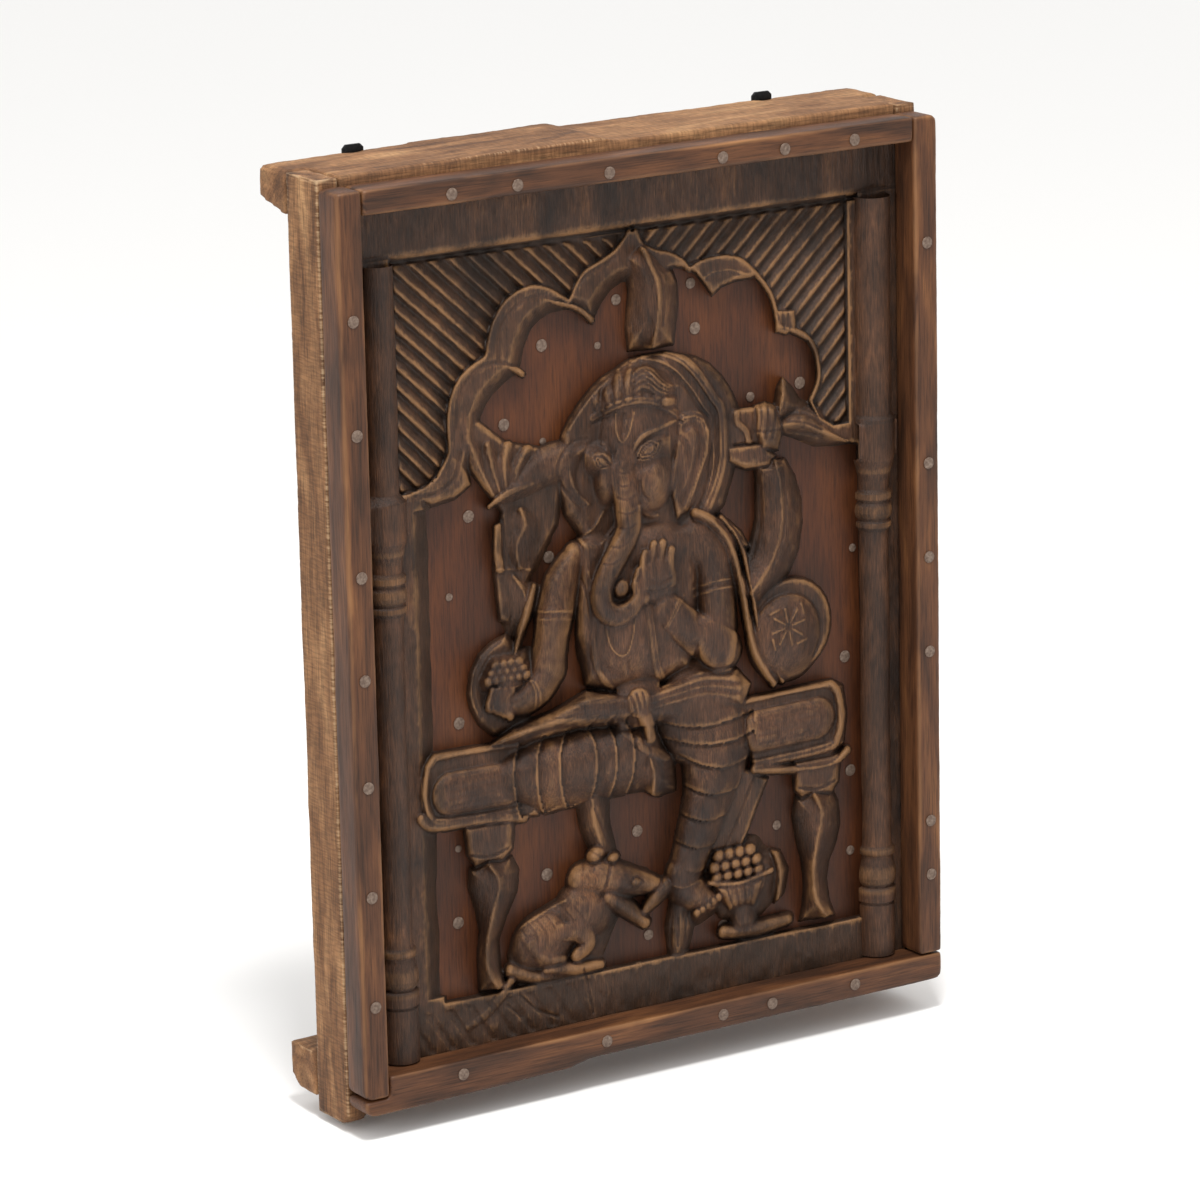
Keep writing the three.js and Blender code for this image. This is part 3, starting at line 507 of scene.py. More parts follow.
def head(c):
    c.dome(6, 138, 46, 52, 14.0, power=2.6)
    c.dome(5, 165, 42, 32, 12.5, power=2.4)
    c.dome(12, 100, 32, 37, 15.5, power=2.6, blend=4.0)
    c.dome(-24, 108, 19, 31, 16.5, power=2.4, blend=4.0)
    c.swell(20, 95, 26, 30, 6.5, turn=-12)
    c.swell(6, 137, 40, 22, 2.6)
    c.swell(-25, 100, 15, 24, 2.5)
    crown(c)
    # forehead mark, brows and eyes
    c.mark([(-16, 156), (-16, 142), (-11, 132), (-4, 138), (1, 154)], 1.4, -1.3)
    c.mark([(-9, 154), (-10, 140)], 2.6, 1.6)
    c.limb([(-1, 116), (2, 126), (10, 134), (24, 138), (42, 143)], [2.4, 3.0, 1.8], rise=[1.4, 2.6, 1.4],
           blend=0.7)
    c.limb([(-42, 133), (-33, 134), (-26, 128), (-22, 116)], [1.8, 2.8, 2], rise=[1.2, 2.4, 1.2], blend=0.7)
    c.mark([(2, 120), (8, 129), (20, 133), (32, 132)], 2.2, 0.9)
    c.mark([(8, 108), (20, 111), (32, 118)], 3.0, 0.9)
    c.dome(15, 122, 12.5, 7.5, 8.2, turn=22, blend=0.8, foot=12.0)
    c.dome(-29, 119, 9, 6.5, 12.6, turn=-28, blend=0.8, foot=16)
    lids = [
        (15, 122, [(-11, -5), (-5, 3), (4, 6.5), (11, 5.5)]),
        (15, 122, [(-11, -5), (-2, -6.5), (7, -3), (11, 5.5)]),
        (-29, 119, [(-8, 4), (-1, 5), (7, -4)]),
        (-29, 119, [(-8, 4), (-4, -4), (7, -4)]),
    ]
    for grow, depth in ((1.0, 1.9), (0.62, 1.4)):
        for x, z, line in lids:
            c.mark([(x + a * grow, z + b * grow) for a, b in line], 0.9, depth)
    c.dome(16, 122.5, 2.4, 2.4, 8.4, blend=0.4, foot=11)
    # trunk, broad at the root, hanging to the left and curled under to the right
    trunk = [(-10, 118), (-10, 100), (-7, 80), (-6, 62), (-14, 46), (-25, 30), (-33, 12), (-31, -2),
             (-20, -10),
             (-6, -7), (2, 3), (1, 13)]
    c.limb(trunk, [10, 12, 12.5, 12, 11.5, 11, 10.5, 9.5, 8.5, 7, 5.5],
           [12.5, 9.0, 6.8, 5.5, 4.8, 4.5, 4.5, 4.8, 5, 6, 8], blend=2.4, lying=True)
    for x, z in ((-9, 108), (-8, 97), (-7, 86), (-6, 74), (-8, 62), (-16, 48), (-24, 35)):
        c.mark([(x - 9, z + 1), (x, z - 2), (x + 9, z + 1)], 0.9, 0.6)
    c.dome(-14, 12, 7, 7, 9.0, blend=1.2, foot=15)
    c.mark([(-7, 5), (-13, 2), (-20, 5), (-24, 12), (-20, 21)], 1.3, 1.6)
    # cheek, jaw and the small mouth beside the trunk
    c.mark([(42, 104), (39, 90), (32, 78), (19, 70), (10, 73)], 1.8, 1.2)
    c.mark([(5, 98), (7, 88), (13, 81)], 1.4, 1.4)
    c.limb([(6, 76), (14, 69), (22, 67)], [3.4, 2.4], rise=[2.5, 1.2], blend=0.9)
    c.mark([(-52, 60), (-39, 66), (-30, 78)], 1.5, -1.6)
    c.mark([(-32, 52), (-19, 64), (-16, 70)], 1.5, -1.6)


def belly(c):
    c.plate([(-57, 62), (58, 60), (66, 20), (62, -30), (52, -66), (20, -74), (-25, -74), (-52, -64),
             (-60, -20)],
            21, 14, crown=3)
    c.dome(-2, -28, 58, 48, 9.5, power=2.4, blend=2.0)
    c.dome(16, 40, 50, 28, 15, blend=2.0)
    c.dome(-38, 42, 24, 26, 19, blend=2.0)
    c.mark([(-30, -14), (-28, -26), (-24, -37), (-16, -44), (-9, -42), (-4, -30), (-1, -14), (5, 2)], 1.1,
           -1.3)
    c.mark([(-10, -50), (-9, -57)], 1.8, 1.6)
    c.mark([(-45, 30), (-41, 18), (-38, 4)], 1.4, -1.2)
    c.mark([(-52, 26), (-46, 8), (-44, -8)], 1.4, 1.4)
    c.limb([(-40, -6), (-42, -30), (-38, -52), (-22, -76)], 3.2, rise=[1.0, 2.0, 2.0], blend=0.8)
    c.limb([(12, -8), (15, -34), (18, -56), (24, -76)], [3.2, 4.0, 4.6], rise=[1.2, 2.2, 2.2], blend=0.8)
    c.mark([(13, -12), (16, -36), (19, -56), (24, -72)], 0.9, 0.8)


def waist(c):
    """The girdle, with its folds gathered from the left hip to a knot and a band on the right."""
    c.plate([(-150, -100), (-120, -84), (-84, -78), (-50, -66), (-20, -72), (20, -74), (60, -64), (98, -72),
             (112, -88), (104, -108), (40, -112), (0, -106), (-60, -100), (-110, -104)], 19, 12, crown=3)
    for i in range(5):
        c.limb([(-140 + i * 9, -98 + i * 1.5), (-96 + i * 6, -86 - i * 1.0), (-46, -76 - i * 4.5),
                (-4, -80 - i * 3.4)], [2.4, 3.4, 2.6], rise=[1.0, 2.2, 1.6], blend=1.0, keel=0.5)
    for i in range(4):
        c.limb([(10, -78 - i * 5), (36, -74 - i * 5.5), (66, -70 - i * 6.5), (98, -74 - i * 8)],
               [2.4, 3.2, 2.4],
               rise=[1.4, 2.0, 1.0], blend=1.0, keel=0.5)
    c.dome(0, -86, 12, 13, 9.8, turn=20, blend=1.0, foot=18)
    for i in range(3):
        c.mark([(-8 + i * 6, -78), (-4 + i * 5, -87), (-2 + i * 5, -97)], 1.2, 1.2)
    c.limb([(2, -92), (8, -104), (10, -118)], [6, 8], [11.5, 14], blend=1.0, lying=True)


def left_arms(c):
    # the rear arm with its fan of petals
    c.plate([(-160, 168), (-146, 172), (-120, 150), (-84, 140), (-66, 112), (-72, 74), (-96, 40), (-120, -4),
             (-132, 2), (-137, 48), (-128, 92), (-140, 108), (-158, 132)], 33, 6)
    for points, widths, tops in (([(-155, 156), (-146, 134), (-132, 106)], [4, 8, 4], [29.5, 27.5, 29]),
                                 ([(-137, 148), (-133, 130), (-126, 107)], [4, 8, 4], [28, 25.5, 28]),
                                 ([(-118, 146), (-122, 128), (-120, 108)], [5, 8, 5], [28, 26.0, 28]),
                                 ([(-100, 140), (-110, 124), (-112, 109)], [5, 8, 5], [28.5, 26.5, 28])):
        c.limb(points, widths, tops, blend=0.9, keel=0.8, lying=True)
    c.limb([(-60, 124), (-82, 122), (-104, 112), (-122, 104)], [20, 21, 15, 9], [24, 25, 26, 28], blend=1.6)
    c.limb([(-137, 98), (-120, 106), (-96, 111)], [2.5, 3.2, 2.2], [27, 25, 25.5], blend=0.9, lying=True)
    c.keeled([(-126, 92), (-104, 96), (-82, 88), (-78, 62), (-94, 38), (-121, 42), (-128, 62)],
             [(-108, 92), (-104, 78), (-112, 62), (-110, 44)], 26, power=0.5)
    c.limb([(-130, 80), (-131, 62), (-128, 46)], 4.5, 29, blend=0.9, lying=True)
    c.mark([(-125, 86), (-124, 64), (-124, 46)], 1.4, 1.8)
    c.mark([(-133, 45), (-118, 44), (-98, 40), (-88, 27)], 1.6, -1.5)
    c.keeled([(-134, 42), (-112, 40), (-88, 26), (-92, 8), (-108, -10), (-122, -16), (-130, 0)],
             [(-116, 38), (-106, 22), (-106, 4)], 28.5, power=0.5)
    c.limb([(-97, 27), (-104, 6), (-113, -16), (-118, -36)], [3, 5.5, 4], [25, 23.5, 26], blend=0.9, keel=0.5,
           lying=True)
    # the front arm, bent to the bowl
    backing = [(-124, -6), (-140, -12), (-152, -20), (-161, -35), (-164, -52), (-161, -66), (-154, -80),
               (-140, -92), (-104, -92), (-100, -40)]
    c.plate(backing, 31, 9)
    c.mark([(-130, -14), (-144, -22), (-153, -36), (-156, -54), (-150, -72)], 1.5, 1.3)
    c.limb([(-58, 46), (-70, 26), (-77, 4), (-82, -18), (-86, -40)], [14, 20, 20, 18, 19],
           [21, 16, 13, 12.5, 12], blend=2.4)
    c.limb([(-86, -44), (-96, -57), (-112, -66), (-132, -66)], [19, 18, 15, 11], [12.5, 13, 15, 18],
           blend=2.6)
    for z in (4, -2):
        c.mark([(-99, z + 3), (-88, z), (-72, z - 2), (-60, z - 4)], 1.1, -1.1)
    c.mark([(-99, 1), (-80, -3), (-60, -5)], 1.0, 0.8)
    for i in range(2):
        c.mark([(-102 + i * 4, -50 - i * 2), (-97 + i * 4, -62 - i * 2), (-99 + i * 4, -76 - i * 2)], 1.2,
               -1.1)
    c.dome(-122, -50, 25, 13, 17.5, blend=1.0)
    c.mark([(-146, -49), (-124, -54), (-100, -50)], 1.2, -1.1)
    for row in range(3):
        for i in range(6 - row):
            c.dome(-141 + i * 7 + row * 3.5, -45 + row * 5.5, 4.6, 4.4, 15.5 + row * 1.2, blend=0.7, foot=21)
    for i in range(4):
        c.limb([(-120 - i * 6, -56 + i), (-127 - i * 5, -66), (-122 - i * 5, -77 + i * 3)], 4.0, [16, 15, 18],
               blend=0.9, lying=True)


def right_rear_arm(c):
    crest = [(136, 100), (141, 80), (143, 60), (142, 40), (137, 22), (128, 5), (112, -12)]
    c.keeled([(148, 98), (158, 82), (164, 62), (165, 40), (161, 18), (152, 0), (140, -12), (118, -26),
              (100, -4),
              (108, 24), (116, 50), (117, 80), (116, 98)], crest, 19.5, power=0.42, blend=1.4)
    c.mark([(x + 4, z) for x, z in crest[1:-1]], 1.2, 1.0)
    c.mark([(121, 84), (123, 60), (120, 38), (113, 18)], 2.4, 1.2)
    c.mark([(120, 92), (132, 89), (143, 91)], 1.4, -1.2)
    # the hand, the small slab with its curved line, the ledge below it and the pointed leaf above
    c.plate([(86, 146), (124, 145), (124, 111), (88, 113)], 28, 4)
    c.limb([(100, 142), (101, 133), (109, 125), (112, 115)], 3.2, rise=2.6, blend=0.9)
    c.plate([(88, 116), (124, 114), (140, 101), (134, 90), (108, 92), (90, 100)], 24.5, 5)
    c.plate([(116, 146), (128, 148), (141, 143), (147, 124), (142, 104), (122, 103), (116, 120)], 22.0, 9,
            crown=2)
    for i in range(3):
        c.mark([(123 + i * 7, 146), (124 + i * 7, 132), (121 + i * 7, 116)], 1.3, 1.2)
    c.mark([(117, 124), (130, 121), (146, 122)], 1.4, 0.8)
    c.keeled([(136, 140), (139, 158), (146, 166), (155, 158), (164, 146), (182, 139), (160, 130), (142, 128)],
             [(142, 134), (146, 150), (146, 164)], 25.5, power=0.5)
    c.keeled([(140, 130), (160, 142), (184, 138), (192, 124), (204, 108), (218, 101), (196, 100), (176, 102),
              (156, 112), (142, 118)], [(146, 124), (164, 124), (180, 116), (210, 102)], 25, power=0.5)
    for i in range(3):
        c.mark([(150, 134 - i * 7), (168, 131 - i * 8), (184, 120 - i * 5)], 1.2, 1.2)


def shawl_and_right_arm(c):
    c.plate([(70, 62), (92, 54), (104, 43), (113, 27), (99, 26), (84, 44)], 26, 6)
    c.mark([(76, 57), (94, 47), (108, 30)], 1.0, 1.2)
    c.limb([(60, 42), (72, 26), (76, 8), (77, -14), (78, -38), (78, -56)], [26, 23, 21, 21, 21, 18],
           [17, 13.5, 12, 12, 12.5, 15], blend=2.4)
    for z in (2, -5):
        c.mark([(56, z - 1), (70, z + 1), (84, z + 2), (96, z + 1)], 1.0, -1.1)
    c.mark([(57, -2), (76, 0), (95, -1)], 1.0, 0.8)
    shawl = [(58, 64), (74, 55), (87, 40), (95, 24), (100, 4), (105, -18), (109, -42), (115, -62), (125, -80),
             (133, -92)]
    c.limb(shawl, [4.5, 5.5, 5.5, 5, 4.5], [16, 16, 17, 19, 23], blend=1.4, lying=True, keel=0.3)
    c.limb([(x + 9, z + 1) for x, z in shawl[1:]], [4.5, 5, 4.5], [20.5, 21, 22, 25], blend=1.2, keel=0.5)
    c.mark([(x + 4.5, z) for x, z in shawl[1:]], 1.4, 1.4)
    # the forearm across the belly and the raised hand, palm outwards
    c.limb([(84, -56), (66, -44), (46, -28), (30, -10)], [19, 18, 15.5, 12.5], [13, 10, 8.5, 8.5], blend=1.8,
           lying=True)
    for i in range(2):
        c.mark([(46 - i * 5, -3 - i * 3), (39 - i * 5, -15 - i * 3), (30 - i * 4, -27 - i * 2)], 1.3, -1.2)
    c.dome(22, 12, 18, 19, 8.0, turn=-10, blend=1.4, foot=16)
    for i, tip in enumerate((37, 43, 43, 36)):
        x = 8 + i * 8.2
        c.limb([(x + 1, 10), (x - 0.5, 26), (x + 1.5, tip)], [5.2, 5.2, 4.4], [7.6, 7.6, 9.5], blend=1.2,
               lying=True)
    c.limb([(8, 0), (0, 10), (3, 24)], [5.5, 4.0], [8, 9.5], blend=1.0, lying=True)
    c.mark([(12, 16), (22, 11), (34, 14)], 1.1, 0.9)
    c.mark([(12, 6), (22, 3), (33, 8)], 1.1, 0.8)


def cushion(c):
    c.plate(arc(150, -46, 43, 0, 345, 26), 29, 6)
    c.dome(146, -52, 40, 42, 16.5, power=3.0, blend=0.9)
    c.mark(arc(146, -52, 35, -40, 200, 20), 1.4, 1.4)
    x, z = 148, -46
    for i in range(8):
        a = math.radians(i * 45 + 12)
        ray = [(x + r * math.cos(a), z + r * math.sin(a)) for r in (4, 16)]
        c.mark(ray, 1.5, -1.6, curve=False)
    for i in range(4):
        a = math.radians(i * 90 + 30)
        tick = [(x + r * math.cos(b), z + r * math.sin(b)) for r, b in ((18, a), (22, a + 0.4))]
        c.mark(tick, 1.5, -1.5, curve=False)


def throne_side(c, side):
    if side < 0:
        outline = [(-96, -96), (-196, -94), (-206, -103), (-210, -128), (-206, -148), (-194, -160),
                   (-96, -166)]
        rim = [(-112, -100), (-180, -98), (-198, -103), (-204, -126), (-200, -147), (-186, -154),
               (-112, -157)]
        inner = [(-128, -132), (-179, -131)]
        lower = [(-207, -148), (-194, -157), (-150, -159), (-112, -164)]
    else:
        outline = [(96, -98), (192, -97), (204, -104), (208, -130), (204, -156), (190, -166), (110, -164)]
        rim = [(104, -101), (178, -100), (194, -106), (200, -128), (196, -149), (182, -156), (108, -158)]
        inner = [(118, -130), (175, -129)]
        lower = [(206, -162), (190, -171), (160, -170), (112, -163)]
    c.plate(outline, 29, 6)
    c.limb(rim, 4.2, rise=[2, 5, 5, 2], blend=1.4)
    c.mark([(x * 0.985, z) for x, z in rim], 1.2, 0.8)
    c.limb(inner, 18.5, 21.0, blend=1.4, curve=False, lying=True, power=2.4)
    c.limb(lower, 5.0, 25.5, blend=1.6, lying=True)
    for i in range(4):
        c.mark([(inner[0][0], inner[0][1] + 10 - i * 7), (inner[1][0], inner[1][1] + 10 - i * 7)], 1.2, 0.5)


def throne_legs(c):
    """Turned-out legs with a sharp crest that swings with the outline."""
    c.plate([(-171, -158), (-119, -160), (-122, -188), (-132, -198), (-160, -198), (-168, -186)], 27, 8)
    c.keeled([(-166, -196), (-168, -212), (-162, -232), (-158, -252), (-161, -272), (-160, -304),
              (-132, -304),
              (-137, -284), (-138, -262), (-130, -244), (-119, -224), (-117, -206), (-124, -192)],
             [(-146, -196), (-136, -214), (-143, -238), (-149, -262), (-149, -284), (-140, -302)], 18.5,
             power=0.5)
    c.plate([(150, -160), (202, -160), (199, -188), (191, -198), (158, -198), (151, -188)], 27, 8)
    c.keeled([(152, -192), (149, -210), (152, -230), (158, -250), (160, -272), (158, -290), (154, -304),
              (194, -305), (188, -290), (185, -270), (188, -255), (196, -240), (200, -224), (198, -204),
              (192, -192)],
             [(172, -194), (179, -212), (174, -236), (170, -258), (172, -284), (182, -302)], 18.5, power=0.5)
    for x in (-145, 175):
        c.mark([(x - 18, -186), (x, -190), (x + 18, -186)], 1.4, 1.4)


def folded_leg(c):
    outline = [(-138, -124), (-130, -112), (-118, -102), (-100, -98), (-50, -97), (-12, -102), (14, -114),
               (33, -136), (33, -168), (0, -163), (-50, -164), (-92, -166), (-122, -153)]
    c.plate(outline, 25, 16, crown=8)
    c.limb([(-117, -128), (-84, -131), (-46, -131), (-6, -131)], [25, 34, 34, 30], [16, 13, 13, 15],
           blend=2.4)
    # overlapping pleats, each one's edge lying on the next
    for i, x in enumerate((-114, -92, -70, -50, -31, -14)):
        bend = 10 if i > 2 else -5
        line = [(x, -98 - 3 * (i == 0)), (x + bend * 0.8, -112), (x + bend, -132), (x + bend * 0.7, -150),
                (x, -163)]
        c.step(line, 15, 4.2)
        c.mark([(a - 1.2, b) for a, b in line], 1.1, -0.7)
    c.limb([(-22, -100), (-4, -116), (10, -128), (30, -138)], [4, 5, 4], rise=2.2, blend=1.0)
    c.keeled([(-2, -134), (18, -130), (35, -138), (36, -168), (16, -170), (-4, -158)],
             [(10, -134), (14, -150), (12, -166)], 15.5, power=0.4, blend=1.6)
    for i in range(3):
        c.mark([(22, -145 - i * 7), (36, -147 - i * 7)], 1.0, 0.9)
    c.limb([(-46, -160), (-44, -182), (-36, -206)], [18, 16, 13], [24, 23.5, 28], blend=1.2, keel=0.5)
    c.mark([(-44, -168), (-38, -184), (-32, -200)], 1.2, 1.4)


def hanging_leg(c):
    c.limb([(58, -98), (68, -120), (74, -140), (72, -160), (66, -180), (58, -200), (50, -220), (42, -240)],
           [45, 44, 37, 32, 27, 24, 21, 19], [15, 12, 11.5, 12, 13, 14, 15.5, 17], blend=2.4)
    wraps = [
        [(16, -104), (44, -114), (74, -117), (112, -112)],
        [(22, -120), (56, -131), (88, -134), (112, -128)],
        [(38, -137), (60, -149), (84, -155), (108, -151)],
        [(38, -160), (56, -171), (78, -177), (101, -174)],
        [(34, -184), (50, -193), (68, -198), (90, -195)],
        [(27, -206), (44, -215), (58, -220), (76, -218)],
        [(22, -226), (38, -235), (52, -240), (66, -238)],
    ]
    for line in wraps:
        c.step(list(reversed(line)), 12, 3.2)
        c.mark(line, 1.0, 0.6)
    # foot, toes and the cloth's end below it
    c.limb([(40, -238), (43, -252), (52, -260), (66, -266)], [19, 19, 17, 12], [17, 16.5, 17.5, 21],
           blend=1.6)
    for i in range(5):
        c.dome(75 - i * 5.4, -265 - i * 2.4, 4.2, 4.2, 19.5, blend=1.4, foot=27)
    c.mark([(24, -244), (40, -250), (58, -247)], 1.3, -1.2)
    c.limb([(24, -246), (12, -255), (2, -264)], [10, 9, 6], [22, 24, 28], blend=1.2)
    c.limb([(38, -266), (36, -284), (34, -304)], [14, 16, 12], [27, 26, 30], blend=1.2, keel=0.3)
    for i in range(3):
        c.mark([(28 + i * 7, -276), (27 + i * 7, -300)], 1.1, 1.3)
    # the sash that falls behind the leg
    c.plate([(100, -156), (128, -172), (100, -228), (64, -227)], 31, 5)
    c.mark([(102, -160), (84, -196), (66, -226)], 1.5, -1.2)
    c.mark([(125, -175), (112, -202), (98, -224)], 1.5, -1.2)
    c.mark([(112, -168), (96, -200), (82, -224)], 1.2, 1.2)


def mouse(c):
    """A crouching mouse: heavy haunch, lines of fur along the back, the head low between its paws."""
    c.keeled([(-132, -300), (-132, -276), (-124, -258), (-104, -244), (-76, -234), (-50, -226), (-26, -240),
              (-22, -262), (-36, -290), (-44, -306), (-120, -306)],
             [(-112, -262), (-88, -254), (-58, -242)], 25,
             power=0.35, blend=1.6)
    c.dome(-94, -270, 36, 28, 18.5, turn=12, blend=2.0, power=2.3)
    c.dome(-56, -252, 32, 28, 18.5, turn=-20, blend=2.2, power=2.3)
    c.limb([(-58, -226), (-40, -228), (-16, -235), (14, -243)], [17, 20, 16, 8], [21, 18, 19, 24], blend=2.0)
    c.dome(-44, -207, 12, 9.5, 20.5, turn=25, blend=1.2)
    c.mark([(-49, -203), (-40, -209), (-36, -214)], 2.2, 1.8)
    c.dome(-28, -213, 8, 6, 21.5, turn=10, blend=1.0)
    c.dome(-6, -237, 4.8, 3.4, 17.5, blend=0.5, foot=21)
    c.mark([(-12, -238), (-6, -232.5), (1, -238)], 1.0, 1.3)
    c.mark([(-2, -246), (8, -249), (18, -246)], 1.0, 1.2)
    c.mark([(-120, -256), (-98, -247), (-74, -240)], 1.4, -1.3)
    c.mark([(-30, -216), (-34, -232), (-42, -246)], 1.6, 1.4)
    for i in range(7):
        c.mark([(-120 + i * 9, -254 + i * 1.2), (-112 + i * 9, -264 + i * 1.0), (-110 + i * 9, -276 + i)],
               0.9, 0.7)
    c.limb([(-32, -246), (-16, -258), (2, -274)], [12, 10, 7], [20, 22, 28], blend=1.4)
    c.limb([(-106, -272), (-96, -284), (-80, -289)], [14, 13, 9], [18, 19, 23], blend=1.6)
    c.limb([(-78, -266), (-62, -270), (-54, -280), (-64, -289)], [8, 9, 7], [19, 18.5, 21], blend=1.2,
           lying=True)
    c.limb([(-94, -296), (-66, -300), (-42, -302)], [8, 9, 6], [24, 23, 28], blend=1.2)
    c.limb([(-128, -298), (-140, -312), (-154, -323), (-170, -330)], [5, 4.4, 2.8], [28.6, 28.2, 29.6],
           blend=0.9,
           lying=True)
    c.limb([(-128, -290), (-100, -300), (-60, -303)], [8, 9, 7], [27, 26, 30], blend=1.2)


def sweets(c):
    """A footed bowl heaped with round sweets, and the leaf that leans on it."""
    c.keeled([(66, -240), (74, -252), (66, -270), (76, -286), (96, -292), (118, -290), (134, -278),
              (142, -256),
              (134, -236), (104, -228)], [(82, -250), (100, -270), (120, -252)], 25, power=0.35, blend=1.4)
    for row, (count, x, z) in enumerate([(4, 76, -231), (5, 72, -240), (5, 74, -249)]):
        for i in range(count):
            c.dome(x + i * 10.2, z, 6.4, 6.0, 22.5 - row * 1.5, blend=0.8, foot=32)
    c.plate([(66, -251), (128, -251), (124, -266), (112, -282), (84, -282), (70, -264)], 21.5, 12, crown=4,
            blend=1.2)
    c.limb([(66, -252), (96, -257), (128, -252)], 2.6, [21, 18.5, 21], blend=0.8, lying=True)
    for i in range(6):
        c.mark([(74 + i * 9, -258), (84 + i * 5.6, -278)], 1.0, 0.9)
    c.limb([(98, -278), (100, -292)], [15, 15], 25, blend=1.2)
    c.limb([(80, -297), (112, -300), (144, -298)], [8, 9, 7], [28, 26, 30], blend=1.2)
    c.keeled([(126, -232), (138, -236), (147, -254), (142, -276), (130, -284), (126, -262)],
             [(132, -238), (137, -256), (134, -278)], 24.5, power=0.5)


def gouge_waves(c):
    """Uneven waves of several sizes, drawn out a little up the board."""
    X, Z = c.X, c.Z
    noise = np.zeros(X.shape)
    for size, strength in ((34, 0.6), (14, 0.42), (6.5, 0.2), (3.2, 0.08)):
        across = size * 0.7
        rows = int(np.ptp(Z) / size) + 3
        cols = int(np.ptp(X) / across) + 3
        grid = rng.standard_normal((rows, cols))
        u = (Z - Z.min()) / size
        v = (X - X.min()) / across
        i, j = u.astype(int), v.astype(int)
        fu, fv = u - i, v - j
        fu, fv = fu * fu * (3 - 2 * fu), fv * fv * (3 - 2 * fv)
        noise += strength * ((grid[i, j] * (1 - fu) + grid[i + 1, j] * fu) * (1 - fv)
                             + (grid[i, j + 1] * (1 - fu) + grid[i + 1, j + 1] * fu) * fv)
    return noise


def tool_marks(c):
    """Cuts of the gouge, small waves, and scored lines on the lintel and the lower border."""
    X, Z = c.X, c.Z
    carved = c.depth < GROUND + 1
    c.depth = c.depth + np.where(carved, gouge_waves(c) * 0.85, 0)
    lintel = (Z > LINTEL_FOOT + 2) & (Z < 344)
    ticks = np.clip(np.sin(X * 0.9 + 2 * np.sin(X * 0.13)) - 0.2, 0, 1) * smooth_step(0, 20, Z - LINTEL_FOOT)
    c.depth += np.where(lintel, 0.55 * ticks, 0)
    border = (Z < -312) & (Z > -346)
    sweep = np.clip(np.sin(X * 0.33 + Z * 0.22) - 0.1, 0, 1)
    c.depth += np.where(border, 0.9 * sweep * smooth_step(-20, -120, X) + 0.25 * sweep, 0)
    for points in ([(-58, -302), (-54, -318), (-50, -342)], [(-120, -312), (-104, -328), (-84, -338)],
                   [(-132, -318), (-118, -332)]):
        c.mark(points, 1.1, 1.4)


def carve():
    xs = np.arange(-MAP_HALF_WIDTH, MAP_HALF_WIDTH + 0.01, CELL)
    zs = np.arange(-MAP_HALF_HEIGHT, MAP_HALF_HEIGHT + 0.01, CELL)
    X, Z = np.meshgrid(xs, zs)
    c = Carving(X, Z)
    board(c)
    arch(c)
    prow(c)
    halo(c)
    for side in (-1, 1):
        throne_side(c, side)
    throne_legs(c)
    cushion(c)
    right_rear_arm(c)
    left_arms(c)
    belly(c)
    waist(c)
    ears(c)
    head(c)
    shawl_and_right_arm(c)
    mouse(c)
    sweets(c)
    folded_leg(c)
    hanging_leg(c)
    tool_marks(c)
    return c


def blurred(field, cells):
    """The field's mean over a square about so many cells wide, taken twice."""
    for _ in range(2):
        for axis in (0, 1):
            width = 2 * cells + 1
            padded = np.concatenate([np.repeat(np.take(field, [0], axis), cells + 1, axis), field,
                                     np.repeat(np.take(field, [-1], axis), cells, axis)], axis)
            total = np.cumsum(padded, axis)
            count = field.shape[axis]
            field = (np.take(total, range(width, width + count), axis)
                     - np.take(total, range(count), axis)) / width
    return field


def set_attribute(mesh, name, values):
    layer = mesh.attributes.get(name) or mesh.attributes.new(name, "FLOAT", "POINT")
    layer.data.foreach_set("value", np.asarray(values, np.float32))


def grid_object(name, columns, rows, places):
    bpy.ops.mesh.primitive_grid_add(x_subdivisions=columns - 1, y_subdivisions=rows - 1, size=1)
    obj = bpy.context.object
    obj.name = name
    set_places(obj.data, places)
    return obj


def weathering(c, mesh):
    """Worn ridges painted with highlight, and soiling with painted shade in the hollows, read from the
    carving itself.
    """
    # a floor under the forms keeps the openings' depth from counting as an edge
    floor = np.where(c.Z > 110, 39.5, 35.5)
    level = np.minimum(c.depth, floor)
    mean = blurred(level, 1)
    wide = blurred(level, 4)
    # wear_and_highlight: ridges and forms standing proud are paler, part worn and part painted highlight
    wear_and_highlight = np.clip((mean - level) * 1.1, -1, 0.8) + np.clip((wide - level) * 0.08, -0.4, 0.3)
    # hollow: soiling and painted shade in creases and hollows, darker where they sink below their
    # surroundings
    hollow = np.clip((level - wide) * 0.12, 0, 0.8) + np.clip((level - mean) * 0.3, 0, 0.4)
    set_attribute(mesh, "wear_and_highlight", wear_and_highlight.reshape(-1))
    set_attribute(mesh, "hollow", hollow.reshape(-1))
    # the lower border and the wall beside the left opening get painted shade as dark as a deep place,
    # whatever their depth
    beside = (c.X < -186) & (c.X > -207) & (c.Z < 108)
    shade_depth = np.where((c.Z < -304) | beside, 38.0, 0.0)
    # low: the depth, from which the material paints shade, darker the deeper the surface lies
    set_attribute(mesh, "low", np.maximum(c.depth, shade_depth).reshape(-1))


